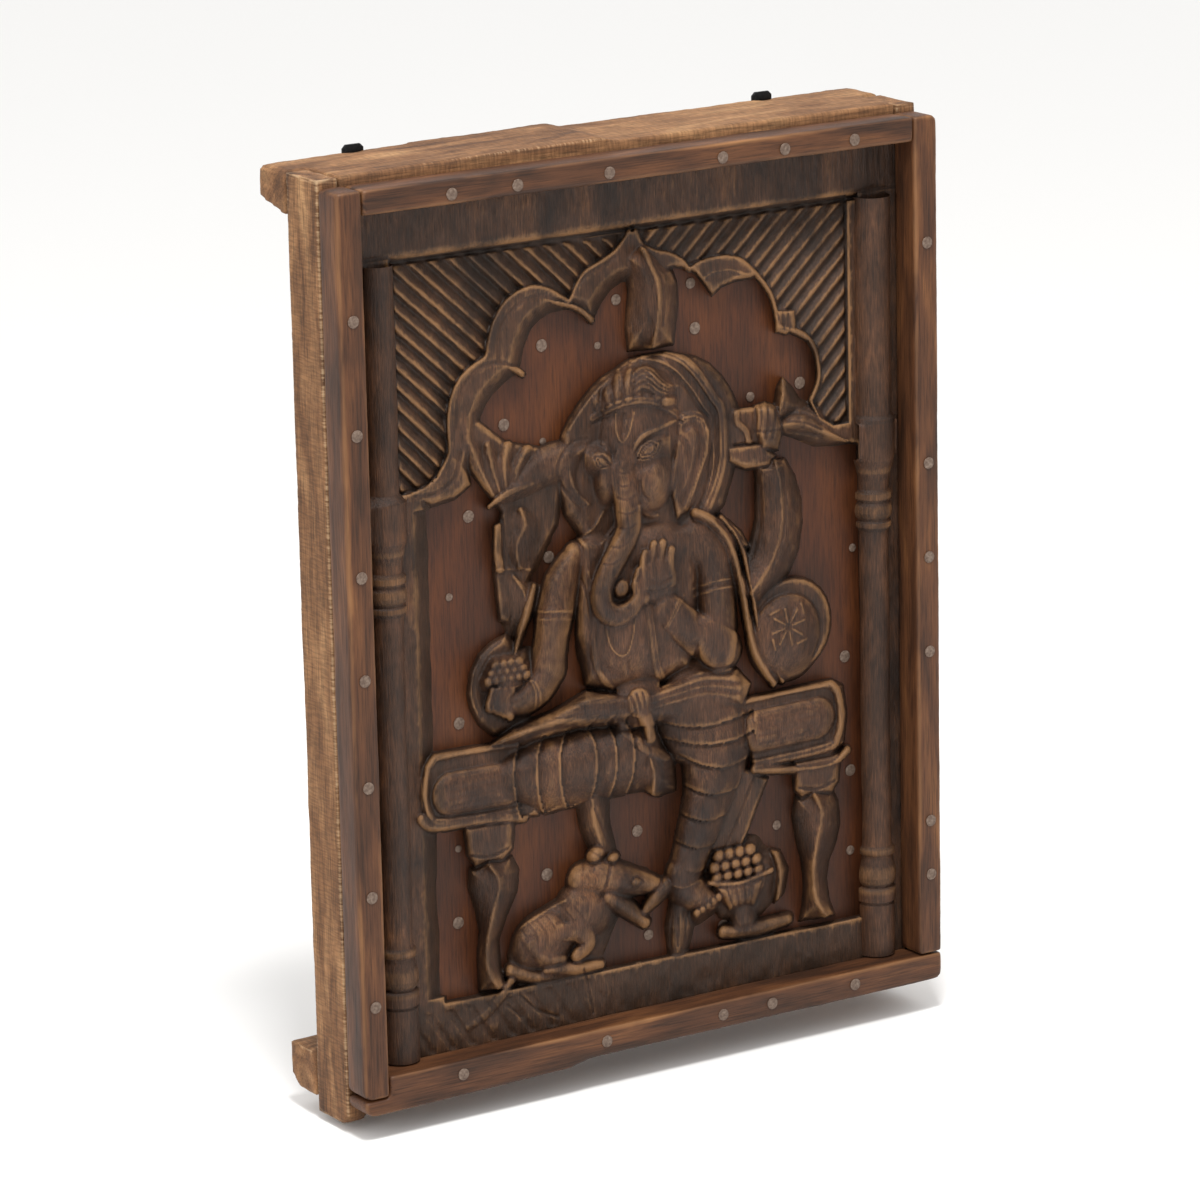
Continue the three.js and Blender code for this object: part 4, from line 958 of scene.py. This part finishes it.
def cut_openings(mesh, deep):
    """Takes away the faces whose four corners all lie behind the ground board's face."""
    quad = deep[:-1, :-1] & deep[1:, :-1] & deep[:-1, 1:] & deep[1:, 1:]
    bpy.ops.object.mode_set(mode="EDIT")
    bpy.ops.mesh.select_mode(type="FACE")
    bpy.ops.mesh.select_all(action="DESELECT")
    close_mesh()
    mesh.polygons.foreach_set("select", quad.reshape(-1))
    bpy.ops.object.mode_set(mode="EDIT")
    bpy.ops.mesh.delete(type="FACE")
    close_mesh()


def thinned(obj, most):
    triangles = sum(len(p.vertices) - 2 for p in obj.data.polygons)
    if triangles > most:
        thin = obj.modifiers.new("thin", "DECIMATE")
        thin.ratio = most / triangles
        bpy.ops.object.modifier_apply(modifier="thin")


def relief_face(c):
    rows, columns = c.X.shape
    depth = np.clip(c.depth, FRONTMOST, OPEN_DEPTH)
    shift = depth - LAYOUT_DEPTH
    # away from the figure the board is built square, so the slant fades out towards the frame
    edge = smooth_step(*SLANT_FADE_X, np.abs(c.X)) * smooth_step(*SLANT_FADE_Z, np.abs(c.Z))
    x = c.X + SLANT_X * shift * edge + SLANT_X * (FACE - LAYOUT_DEPTH) * (1 - edge)
    z = c.Z - SLANT_Z * shift * edge - SLANT_Z * (FACE - LAYOUT_DEPTH) * (1 - edge)
    x = np.clip(x, -BOARD_HALF_WIDTH, BOARD_HALF_WIDTH)
    z = np.clip(z, -BOARD_HALF_HEIGHT, BOARD_HALF_HEIGHT)
    obj = grid_object("carved_face", columns, rows, np.stack(world(x, depth, z), -1))
    weathering(c, obj.data)
    only(obj)
    cut_openings(obj.data, depth > CUT_DEPTH)
    thinned(obj, RELIEF_FACES)
    return obj


def carved_relief():
    face = relief_face(carve())
    only(face)
    open_whole_mesh()
    bpy.ops.mesh.normals_make_consistent(inside=False)
    close_mesh()
    if sum(p.normal.y * p.area for p in face.data.polygons) > 0:
        open_whole_mesh()
        bpy.ops.mesh.flip_normals()
        close_mesh()
    bpy.ops.object.shade_smooth()
    return face


# Columns, turned halves standing on the board beside the carving

def half_column(name, x, upper, shaft):
    """A half-round column: its rings are what is added to the shaft's radius, from the foot up."""
    heights = [-344.5, -300, -299, -297, -286, -284, -281, -276, -270, -259, -257, -256, -251, -249, -246,
               22, 24, 27, 31, 33, 36, 40, 45, 49, 51, 56, 59, 66, 74, 80, 84, 116, 119, 122, 304]
    rings = [2.5, 2.5, 1.0, 3.5, 3.5, 0.0, 2.4, 3.6, 3.2, 0.8, 0.4, 2.5, 2.5, 0.4, 0.0,
             0.0, 0.3, 2.5, 2.5, 0.5, 2.6, 3.5, 2.9, 1.0, 3.0, 3.0, 0.2, 0.6, 2.2, 3.5, 4.6, 4.6, 2.6, 0.0,
             0.0]
    axis_depth = 30.6
    block_foot, block_head, block_face = 84, 116, 22.0
    upper_foot = 118
    steps_around = 29
    z = np.unique(np.concatenate([np.arange(heights[0], heights[-1] + 0.1, 4.0), heights]))
    ring = np.interp(z, heights, rings)
    radius = ring + np.where(z > upper_foot, upper - 1, shaft)
    angles = np.radians(np.linspace(-96, 96, steps_around))
    wobble = 0.35 * np.sin(z * 0.035 + x) + 0.2 * np.sin(z * 0.11)
    px = x + wobble[:, None] + radius[:, None] * np.sin(angles)[None]
    depth = axis_depth - radius[:, None] * np.cos(angles)[None] * 1.02
    pz = np.repeat(z[:, None], steps_around, 1)
    square = (pz > block_foot) & (pz < block_head)
    depth = np.where(square, np.minimum(depth, block_face), depth)
    px = np.where(square, x + (px - x) * 1.08, px)
    column = grid_object(name, steps_around, len(z), np.stack(world(px, depth, pz), -1))
    # the proud rings are worn and painted with highlight, and soiling with painted shade lies where the
    # profile turns
    handled = ((z > -290) & (z < 78)) | (z > 120)
    wear_and_highlight = 0.05 + 0.3 * ((ring > 2.0) & handled)
    turns = np.abs(np.clip(np.gradient(ring), -1, 1)) * 0.5
    set_attribute(column.data, "wear_and_highlight", np.repeat(wear_and_highlight, steps_around))
    set_attribute(column.data, "hollow", np.repeat(turns, steps_around))
    # a fixed depth for the material's painted shade, a little less than on the board's face
    set_attribute(column.data, "low", np.full(pz.size, 28.0))
    return column


# Frame timbers

def aged_timber(node, voxel=2.4, waves=0.7, chips=0.35):
    """A copy of the CAD timber with softened, slightly uneven faces and edges."""
    timber = own_copy(node, "_worn")
    remesh = timber.modifiers.new("even_faces", "REMESH")
    remesh.mode = "VOXEL"
    remesh.voxel_size = voxel * MM
    bpy.ops.object.modifier_apply(modifier="even_faces")
    soften = timber.modifiers.new("soften", "SMOOTH")
    soften.factor = 0.5
    soften.iterations = 3
    bpy.ops.object.modifier_apply(modifier="soften")
    for name, size, strength in (("waves", 45, waves), ("chips", 7, chips)):
        texture = bpy.data.textures.new(node + name, "CLOUDS")
        texture.noise_scale = size * MM
        texture.noise_depth = 2
        uneven = timber.modifiers.new(name, "DISPLACE")
        uneven.texture = texture
        uneven.mid_level = 0.7
        uneven.strength = strength * MM
        bpy.ops.object.modifier_apply(modifier=name)
    # kept just inside the CAD timber's box, and marked where two of its faces meet
    low, high = (np.array(corner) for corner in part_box(node))
    skin = 0.02 * MM
    edge_width = 4 * MM
    places = np.clip(vertex_places(timber.data), low + skin, high - skin)
    set_places(timber.data, places)
    gaps = np.sort(np.concatenate([places - low, high - places], 1), axis=1)
    set_attribute(timber.data, "edge", np.exp(-gaps[:, 1] / edge_width))
    bpy.ops.object.shade_smooth()
    return timber


def carry(piece, material, slot_name, *nodes):
    """Gives a finished piece its material and sets it on the frame."""
    piece.data.materials.clear()
    piece.data.materials.append(material)
    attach(piece, "root")
    if nodes:
        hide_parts(*nodes)


# Materials. The wood's pores are drawn coarser than real ones, so that they show.

def linear(code):
    channels = [int(code[i:i + 2], 16) / 255 for i in (1, 3, 5)]
    return [*(v / 12.92 if v <= 0.04045 else ((v + 0.055) / 1.055) ** 2.4 for v in channels), 1.0]


def add(tree, kind, inputs=None, stops=None, **settings):
    """Adds a node, sets it up and links it; an input may be a value or another node's socket."""
    made = tree.nodes.new("ShaderNode" + kind)
    for key, value in settings.items():
        setattr(made, key, value)
    for key, value in (inputs or {}).items():
        if isinstance(value, bpy.types.NodeSocket):
            tree.links.new(value, made.inputs[key])
        else:
            made.inputs[key].default_value = value
    if stops:
        while len(made.color_ramp.elements) < len(stops):
            made.color_ramp.elements.new(0.5)
        for element, (place, colour) in zip(made.color_ramp.elements, stops):
            element.position = place
            element.color = linear(colour) if isinstance(colour, str) else [colour, colour, colour, 1]
    return made


def new_material(name):
    material = bpy.data.materials.new(name)
    material.use_nodes = True
    tree = material.node_tree
    shader = tree.nodes["Principled BSDF"]
    shader.inputs["Specular IOR Level"].default_value = 0.3
    return material, tree, shader


def cells(along, across_mm, along_mm):
    """How many cells of a pattern a metre holds on each axis, from the real size of one cell."""
    count = [1000 / across_mm] * 3
    count["xyz".index(along)] = 1000 / along_mm
    return count


def carved_hardwood():
    """Old dark carved hardwood, waxed: tan ridges, worn by hands and painted with highlight; painted shade
    with depth and in the cuts, with soiling.
    """
    material, tree, shader = new_material("old_carved_hardwood")
    place = add(tree, "TexCoord").outputs["Object"]
    pores_cells = add(tree, "Mapping", {"Vector": place, "Scale": cells("z", 1.1, 16)})
    pores = add(tree, "TexNoise", {"Vector": pores_cells.outputs[0], "Scale": 1.0, "Detail": 6.0,
                                   "Roughness": 0.7})
    patches_cells = add(tree, "Mapping", {"Vector": place, "Scale": cells("z", 38, 80)})
    patches = add(tree, "TexNoise", {"Vector": patches_cells.outputs[0], "Scale": 1.0, "Detail": 4.0,
                                     "Roughness": 0.55, "Distortion": 0.6})
    grit_cells = add(tree, "Mapping", {"Vector": place, "Scale": cells("z", 1.1, 2.4)})
    grit = add(tree, "TexNoise", {"Vector": grit_cells.outputs[0], "Scale": 1.0, "Detail": 3.0})
    body = add(tree, "ValToRGB", {"Fac": patches.outputs[0]},
               stops=[(0.3, "#27170e"), (0.46, "#3b2415"), (0.58, "#472d1d"), (0.74, "#5a3921")])
    streak = add(tree, "ValToRGB", {"Fac": pores.outputs[0]}, stops=[(0.34, 0.4), (0.5, 0.95), (0.66, 1.6)])
    mix = add(tree, "Mix", {FACTOR: 1.0, FIRST: body.outputs[0], SECOND: streak.outputs[0]}, **PRODUCT)
    colour = mix.outputs[RESULT]
    blotches_cells = add(tree, "Mapping", {"Vector": place, "Scale": cells("z", 5.5, 11)})
    blotches = add(tree, "TexNoise", {"Vector": blotches_cells.outputs[0], "Scale": 1.0, "Detail": 3.0})
    mottle = add(tree, "ValToRGB", {"Fac": blotches.outputs[0]}, stops=[(0.35, 0.82), (0.65, 1.16)])
    mix = add(tree, "Mix", {FACTOR: 1.0, FIRST: colour, SECOND: mottle.outputs[0]}, **PRODUCT)
    colour = mix.outputs[RESULT]
    # painted shade: the deeper the surface lies, the darker it is painted
    low = add(tree, "Attribute", attribute_name="low")
    depth = add(tree, "MapRange", {"Value": low.outputs["Fac"], "From Min": 24.0, "From Max": 41.0,
                                   "To Min": 0.0, "To Max": 0.55})
    mix = add(tree, "Mix", {FACTOR: depth.outputs[0], FIRST: colour, SECOND: linear("#251b11")}, **BLEND)
    colour = mix.outputs[RESULT]
    # tan on the ridges: worn, and painted highlight
    wear_and_highlight = add(tree, "Attribute", attribute_name="wear_and_highlight")
    scuffs = add(tree, "MapRange", {"Value": patches.outputs[0], "From Min": 0.35, "From Max": 0.65,
                                    "To Min": 0.35, "To Max": 1.3})
    uneven = add(tree, "Math", {0: pores.outputs[0], 1: scuffs.outputs[0]}, operation="MULTIPLY")
    broken = add(tree, "Math", {0: wear_and_highlight.outputs["Fac"], 1: uneven.outputs[0]}, operation="MULTIPLY")
    worn_and_highlit = add(tree, "MapRange", {"Value": broken.outputs[0], "From Min": 0.07, "From Max": 0.46,
                                    "To Min": 0.0, "To Max": 0.66})
    mix = add(tree, "Mix", {FACTOR: worn_and_highlit.outputs[0], FIRST: colour, SECOND: linear("#8f6842")}, **BLEND)
    colour = mix.outputs[RESULT]
    # near black in the cuts: soiling and painted shade
    hollow = add(tree, "Attribute", attribute_name="hollow")
    soiling_and_crease_shade = add(tree, "MapRange", {"Value": hollow.outputs["Fac"], "From Min": 0.05, "From Max": 0.8,
                                  "To Min": 0.0, "To Max": 0.6})
    mix = add(tree, "Mix", {FACTOR: soiling_and_crease_shade.outputs[0], FIRST: colour, SECOND: linear("#140d08")}, **BLEND)
    colour = mix.outputs[RESULT]
    tree.links.new(colour, shader.inputs["Base Color"])
    polish = add(tree, "MapRange", {"Value": pores.outputs[0], "To Min": 0.56, "To Max": 0.3})
    tree.links.new(polish.outputs[0], shader.inputs["Roughness"])
    relief_bump = add(tree, "Bump", {"Height": pores.outputs[0], "Strength": 0.8, "Distance": 0.0011})
    fine = add(tree, "Bump", {"Height": grit.outputs[0], "Strength": 0.35, "Distance": 0.0004,
                              "Normal": relief_bump.outputs[0]})
    tree.links.new(fine.outputs[0], shader.inputs["Normal"])
    return material


def waxed_strip(along):
    """Smooth warm hardwood lath, its edges paler: worn, and painted with highlight."""
    material, tree, shader = new_material("waxed_hardwood_strip_" + along)
    place = add(tree, "TexCoord").outputs["Object"]
    pores_cells = add(tree, "Mapping", {"Vector": place, "Scale": cells(along, 1.2, 34)})
    pores = add(tree, "TexNoise", {"Vector": pores_cells.outputs[0], "Scale": 1.0, "Detail": 5.0,
                                   "Roughness": 0.65})
    patches_cells = add(tree, "Mapping", {"Vector": place, "Scale": cells(along, 16, 90)})
    patches = add(tree, "TexNoise", {"Vector": patches_cells.outputs[0], "Scale": 1.0, "Detail": 3.0,
                                     "Distortion": 0.5})
    body = add(tree, "ValToRGB", {"Fac": patches.outputs[0]},
               stops=[(0.3, "#362012"), (0.47, "#4a2c19"), (0.6, "#57351e"), (0.76, "#6c4527")])
    streak = add(tree, "ValToRGB", {"Fac": pores.outputs[0]}, stops=[(0.35, 0.5), (0.52, 1.0), (0.7, 1.25)])
    mix = add(tree, "Mix", {FACTOR: 1.0, FIRST: body.outputs[0], SECOND: streak.outputs[0]}, **PRODUCT)
    colour = mix.outputs[RESULT]
    # paler edges: worn, and painted highlight
    edge = add(tree, "Attribute", attribute_name="edge")
    broken = add(tree, "Math", {0: edge.outputs["Fac"], 1: patches.outputs[0]}, operation="MULTIPLY")
    worn_and_highlit = add(tree, "MapRange", {"Value": broken.outputs[0], "From Min": 0.22, "From Max": 0.55,
                                    "To Min": 0.0, "To Max": 0.75})
    mix = add(tree, "Mix", {FACTOR: worn_and_highlit.outputs[0], FIRST: colour, SECOND: linear("#8b623d")}, **BLEND)
    colour = mix.outputs[RESULT]
    tree.links.new(colour, shader.inputs["Base Color"])
    polish = add(tree, "MapRange", {"Value": pores.outputs[0], "To Min": 0.62, "To Max": 0.42})
    tree.links.new(polish.outputs[0], shader.inputs["Roughness"])
    bump = add(tree, "Bump", {"Height": pores.outputs[0], "Strength": 0.4, "Distance": 0.0005})
    tree.links.new(bump.outputs[0], shader.inputs["Normal"])
    return material


def sawn_frame(along):
    """Weathered sawn timber: pale and dry, with the saw's ridges across the grain."""
    material, tree, shader = new_material("weathered_sawn_timber_" + along)
    place = add(tree, "TexCoord").outputs["Object"]
    pores_cells = add(tree, "Mapping", {"Vector": place, "Scale": cells(along, 1.6, 30)})
    pores = add(tree, "TexNoise", {"Vector": pores_cells.outputs[0], "Scale": 1.0, "Detail": 6.0,
                                   "Roughness": 0.7})
    patches_cells = add(tree, "Mapping", {"Vector": place, "Scale": cells(along, 26, 110)})
    patches = add(tree, "TexNoise", {"Vector": patches_cells.outputs[0], "Scale": 1.0, "Detail": 5.0,
                                     "Distortion": 1.0})
    ticks_cells = add(tree, "Mapping", {"Vector": place, "Scale": cells(along, 14, 1.7)})
    ticks = add(tree, "TexNoise", {"Vector": ticks_cells.outputs[0], "Scale": 1.0, "Detail": 2.0,
                                   "Distortion": 0.3})
    body = add(tree, "ValToRGB", {"Fac": patches.outputs[0]},
               stops=[(0.28, "#4a3120"), (0.44, "#6f4c30"), (0.58, "#86603f"), (0.78, "#a27c55")])
    streak = add(tree, "ValToRGB", {"Fac": pores.outputs[0]}, stops=[(0.34, 0.5), (0.5, 0.95), (0.7, 1.3)])
    mix = add(tree, "Mix", {FACTOR: 1.0, FIRST: body.outputs[0], SECOND: streak.outputs[0]}, **PRODUCT)
    colour = mix.outputs[RESULT]
    saw = add(tree, "ValToRGB", {"Fac": ticks.outputs[0]}, stops=[(0.4, 0.72), (0.6, 1.12)])
    mix = add(tree, "Mix", {FACTOR: 0.8, FIRST: colour, SECOND: saw.outputs[0]}, **PRODUCT)
    colour = mix.outputs[RESULT]
    # pale edges: worn, and painted highlight
    edge = add(tree, "Attribute", attribute_name="edge")
    broken = add(tree, "Math", {0: edge.outputs["Fac"], 1: ticks.outputs[0]}, operation="MULTIPLY")
    worn_and_highlit = add(tree, "MapRange", {"Value": broken.outputs[0], "From Min": 0.25, "From Max": 0.6,
                                    "To Min": 0.0, "To Max": 0.7})
    mix = add(tree, "Mix", {FACTOR: worn_and_highlit.outputs[0], FIRST: colour, SECOND: linear("#bda380")}, **BLEND)
    colour = mix.outputs[RESULT]
    tree.links.new(colour, shader.inputs["Base Color"])
    shader.inputs["Roughness"].default_value = 0.78
    bump = add(tree, "Bump", {"Height": pores.outputs[0], "Strength": 0.5, "Distance": 0.0008})
    sawn = add(tree, "Bump", {"Height": ticks.outputs[0], "Strength": 0.5, "Distance": 0.0009,
                              "Normal": bump.outputs[0]})
    tree.links.new(sawn.outputs[0], shader.inputs["Normal"])
    return material


def red_board():
    """Plain reddish board behind the carving, oiled, with fine streaks along the grain."""
    material, tree, shader = new_material("oiled_red_board")
    place = add(tree, "TexCoord").outputs["Object"]
    pores_cells = add(tree, "Mapping", {"Vector": place, "Scale": cells("z", 1.4, 22)})
    pores = add(tree, "TexNoise", {"Vector": pores_cells.outputs[0], "Scale": 1.0, "Detail": 5.0,
                                   "Roughness": 0.6})
    patches_cells = add(tree, "Mapping", {"Vector": place, "Scale": cells("z", 45, 90)})
    patches = add(tree, "TexNoise", {"Vector": patches_cells.outputs[0], "Scale": 1.0, "Detail": 3.0})
    body = add(tree, "ValToRGB", {"Fac": patches.outputs[0]},
               stops=[(0.3, "#351b0b"), (0.5, "#42210e"), (0.7, "#522b11")])
    streak = add(tree, "ValToRGB", {"Fac": pores.outputs[0]}, stops=[(0.35, 0.62), (0.52, 1.0), (0.7, 1.2)])
    mix = add(tree, "Mix", {FACTOR: 1.0, FIRST: body.outputs[0], SECOND: streak.outputs[0]}, **PRODUCT)
    colour = mix.outputs[RESULT]
    tree.links.new(colour, shader.inputs["Base Color"])
    shader.inputs["Roughness"].default_value = 0.5
    bump = add(tree, "Bump", {"Height": pores.outputs[0], "Strength": 0.35, "Distance": 0.0004})
    tree.links.new(bump.outputs[0], shader.inputs["Normal"])
    return material


def nail_iron():
    """Iron nail heads hammered flat: dull grey with brown tarnish."""
    material, tree, shader = new_material("tarnished_iron_nail")
    place = add(tree, "TexCoord").outputs["Object"]
    stain_cells = add(tree, "Mapping", {"Vector": place, "Scale": cells("z", 2.2, 2.2)})
    stain = add(tree, "TexNoise", {"Vector": stain_cells.outputs[0], "Scale": 1.0, "Detail": 4.0})
    colour = add(tree, "ValToRGB", {"Fac": stain.outputs[0]},
                 stops=[(0.3, "#55443a"), (0.55, "#6b5a4e"), (0.75, "#827164")])
    tree.links.new(colour.outputs[0], shader.inputs["Base Color"])
    shader.inputs["Metallic"].default_value = 0.2
    shader.inputs["Roughness"].default_value = 0.5
    bump = add(tree, "Bump", {"Height": stain.outputs[0], "Strength": 0.2, "Distance": 0.0003})
    tree.links.new(bump.outputs[0], shader.inputs["Normal"])
    return material


def black_steel():
    """Black stoved steel plate, faintly mottled."""
    material, tree, shader = new_material("black_stoved_steel")
    place = add(tree, "TexCoord").outputs["Object"]
    mottle_cells = add(tree, "Mapping", {"Vector": place, "Scale": cells("z", 1.5, 1.5)})
    mottle = add(tree, "TexNoise", {"Vector": mottle_cells.outputs[0], "Scale": 1.0, "Detail": 3.0})
    colour = add(tree, "ValToRGB", {"Fac": mottle.outputs[0]}, stops=[(0.3, "#0c0c0d"), (0.7, "#1d1d1e")])
    tree.links.new(colour.outputs[0], shader.inputs["Base Color"])
    shader.inputs["Metallic"].default_value = 0.6
    shader.inputs["Roughness"].default_value = 0.42
    return material


# Nails and hangers

def nail_head(name, x, depth, z, radius, proud):
    """A hammered round head with a bevelled rim, a little out of round."""
    bpy.ops.mesh.primitive_cylinder_add(vertices=20, radius=radius * MM, depth=proud * MM,
                                        location=world(x, depth - proud / 2, z), rotation=(math.pi / 2, 0, 0))
    nail = bpy.context.object
    nail.name = name
    bpy.ops.object.transform_apply(location=True, rotation=True, scale=True)
    open_whole_mesh()
    bpy.ops.mesh.bevel(offset=proud * 0.35 * MM, segments=2)
    close_mesh()
    places = vertex_places(nail.data)
    unevenness = radius * 0.02 * MM
    for axis in (0, 2):
        places[:, axis] += rng.normal(0, unevenness, len(places))
    set_places(nail.data, places)
    bpy.ops.object.shade_smooth_by_angle(angle=math.radians(35))
    return nail


def bevelled_copy(node, width):
    """A copy of a CAD plate with its edges broken."""
    plate = own_copy(node, "_plate")
    open_whole_mesh()
    bpy.ops.mesh.tris_convert_to_quads()
    close_mesh()
    bevel = plate.modifiers.new("edges", "BEVEL")
    bevel.width = width * MM
    bevel.segments = 2
    bevel.limit_method = "ANGLE"
    bpy.ops.object.modifier_apply(modifier="edges")
    bpy.ops.object.shade_smooth_by_angle(angle=math.radians(35))
    return plate


# Pieces, each with its finish

def relief_with_columns():
    relief = carved_relief()
    columns = [half_column("left_column", -232, 14, 13), half_column("right_column", 236, 17, 13)]
    deselect()
    for piece in (relief, *columns):
        piece.select_set(True)
    bpy.context.view_layer.objects.active = relief
    bpy.ops.object.join()
    relief.name = "relief_carving"
    bpy.ops.object.shade_smooth()
    carry(relief, carved_hardwood(), "relief_wood", "carved_relief")


def strips_and_frame():
    strip_along = {"x": waxed_strip("x"), "z": waxed_strip("z")}
    frame_along = {"x": sawn_frame("x"), "z": sawn_frame("z")}
    for node, along in (("top_strip", "x"), ("bottom_strip", "x"), ("left_strip", "z"), ("right_strip", "z")):
        carry(aged_timber(node), strip_along[along], "strip_wood", node)
    for node, along in (("top_rail", "x"), ("bottom_rail", "x"), ("left_stile", "z"), ("right_stile", "z")):
        timber = aged_timber(node, voxel=3.0, waves=1.3, chips=0.7)
        carry(timber, frame_along[along], "frame_wood", node)


def ground_board():
    board_node = frame["nodes"]["ground_board"]
    board_node.data.materials.clear()
    board_node.data.materials.append(red_board())


def nail_heads():
    """Heads over the CAD's nails on the strips, and those on the ground board."""
    iron = nail_iron()
    for node in sorted(name for name in frame["nodes"] if name.startswith("nail_")):
        low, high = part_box(node)
        middle = (low + high) / 2 / MM
        nail = nail_head(node + "_head", middle.x, STRIP_NAIL_DEPTH, middle.z + MOUNT_HEIGHT,
                         STRIP_NAIL_RADIUS, STRIP_NAIL_PROUD)
        carry(nail, iron, "nail_steel", node)
    for number, (x, z, radius) in enumerate(GROUND_NAILS, 1):
        nail = nail_head(f"board_nail_{number:02d}", x, GROUND, z, radius, GROUND_NAIL_PROUD)
        carry(nail, iron, "nail_steel")


def hanger_plates():
    steel = black_steel()
    for node in ("left_hanger", "right_hanger"):
        carry(bevelled_copy(node, 0.35), steel, "black_steel", node)


# Camera, floor and light

def camera():
    """The viewpoint from the front left and above, a long way off."""
    azimuth, elevation, roll = (math.radians(angle) for angle in (-32.368, 14.521, -1.253))
    distance, lens = 4.5256, 169.97
    target = Vector(world(-52.55, 0, 14.17))
    away = Vector((math.sin(azimuth) * math.cos(elevation), -math.cos(azimuth) * math.cos(elevation),
                   math.sin(elevation)))
    right = Vector((math.cos(azimuth), math.sin(azimuth), 0))
    up = away.cross(right)
    right_rolled = right * math.cos(roll) + up * math.sin(roll)
    up_rolled = up * math.cos(roll) - right * math.sin(roll)
    bpy.ops.object.camera_add()
    cam = bpy.context.object
    turn = Matrix((right_rolled, up_rolled, away)).transposed()
    cam.matrix_world = Matrix.Translation(target + away * distance) @ turn.to_4x4()
    cam.data.lens = lens
    cam.data.sensor_width = 36
    cam.data.clip_end = 100
    bpy.context.scene.camera = cam


def soft_light(name, place, size, energy):
    bpy.ops.object.light_add(type="AREA", location=place)
    lamp = bpy.context.object
    lamp.name = name
    lamp.data.size = size
    lamp.data.energy = energy
    middle_of_panel = Vector((0, -0.06, -0.36))
    aim = middle_of_panel - lamp.location
    lamp.rotation_euler = aim.to_track_quat("-Z", "Y").to_euler()


def studio():
    bpy.ops.mesh.primitive_plane_add(size=60, location=world(0, WALL_DEPTH, FLOOR_HEIGHT))
    floor = bpy.context.object
    floor.name = "floor"
    paper, _, shader = new_material("pale_paper_floor")
    shader.inputs["Base Color"].default_value = linear("#f4f3f1")
    shader.inputs["Roughness"].default_value = 0.9
    floor.data.materials.append(paper)
    world_light = bpy.data.worlds.new("studio")
    bpy.context.scene.world = world_light
    world_light.use_nodes = True
    background = world_light.node_tree.nodes["Background"]
    background.inputs["Color"].default_value = linear("#ffffff")
    background.inputs["Strength"].default_value = 1.0
    soft_light("key_above", (-0.5, -1.1, 2.2), 0.55, 72)
    soft_light("fill_left", (-2.6, -0.9, 0.4), 1.2, 12)
    bpy.context.scene.view_settings.view_transform = "Standard"


relief_with_columns()
strips_and_frame()
ground_board()
nail_heads()
hanger_plates()
camera()
studio()
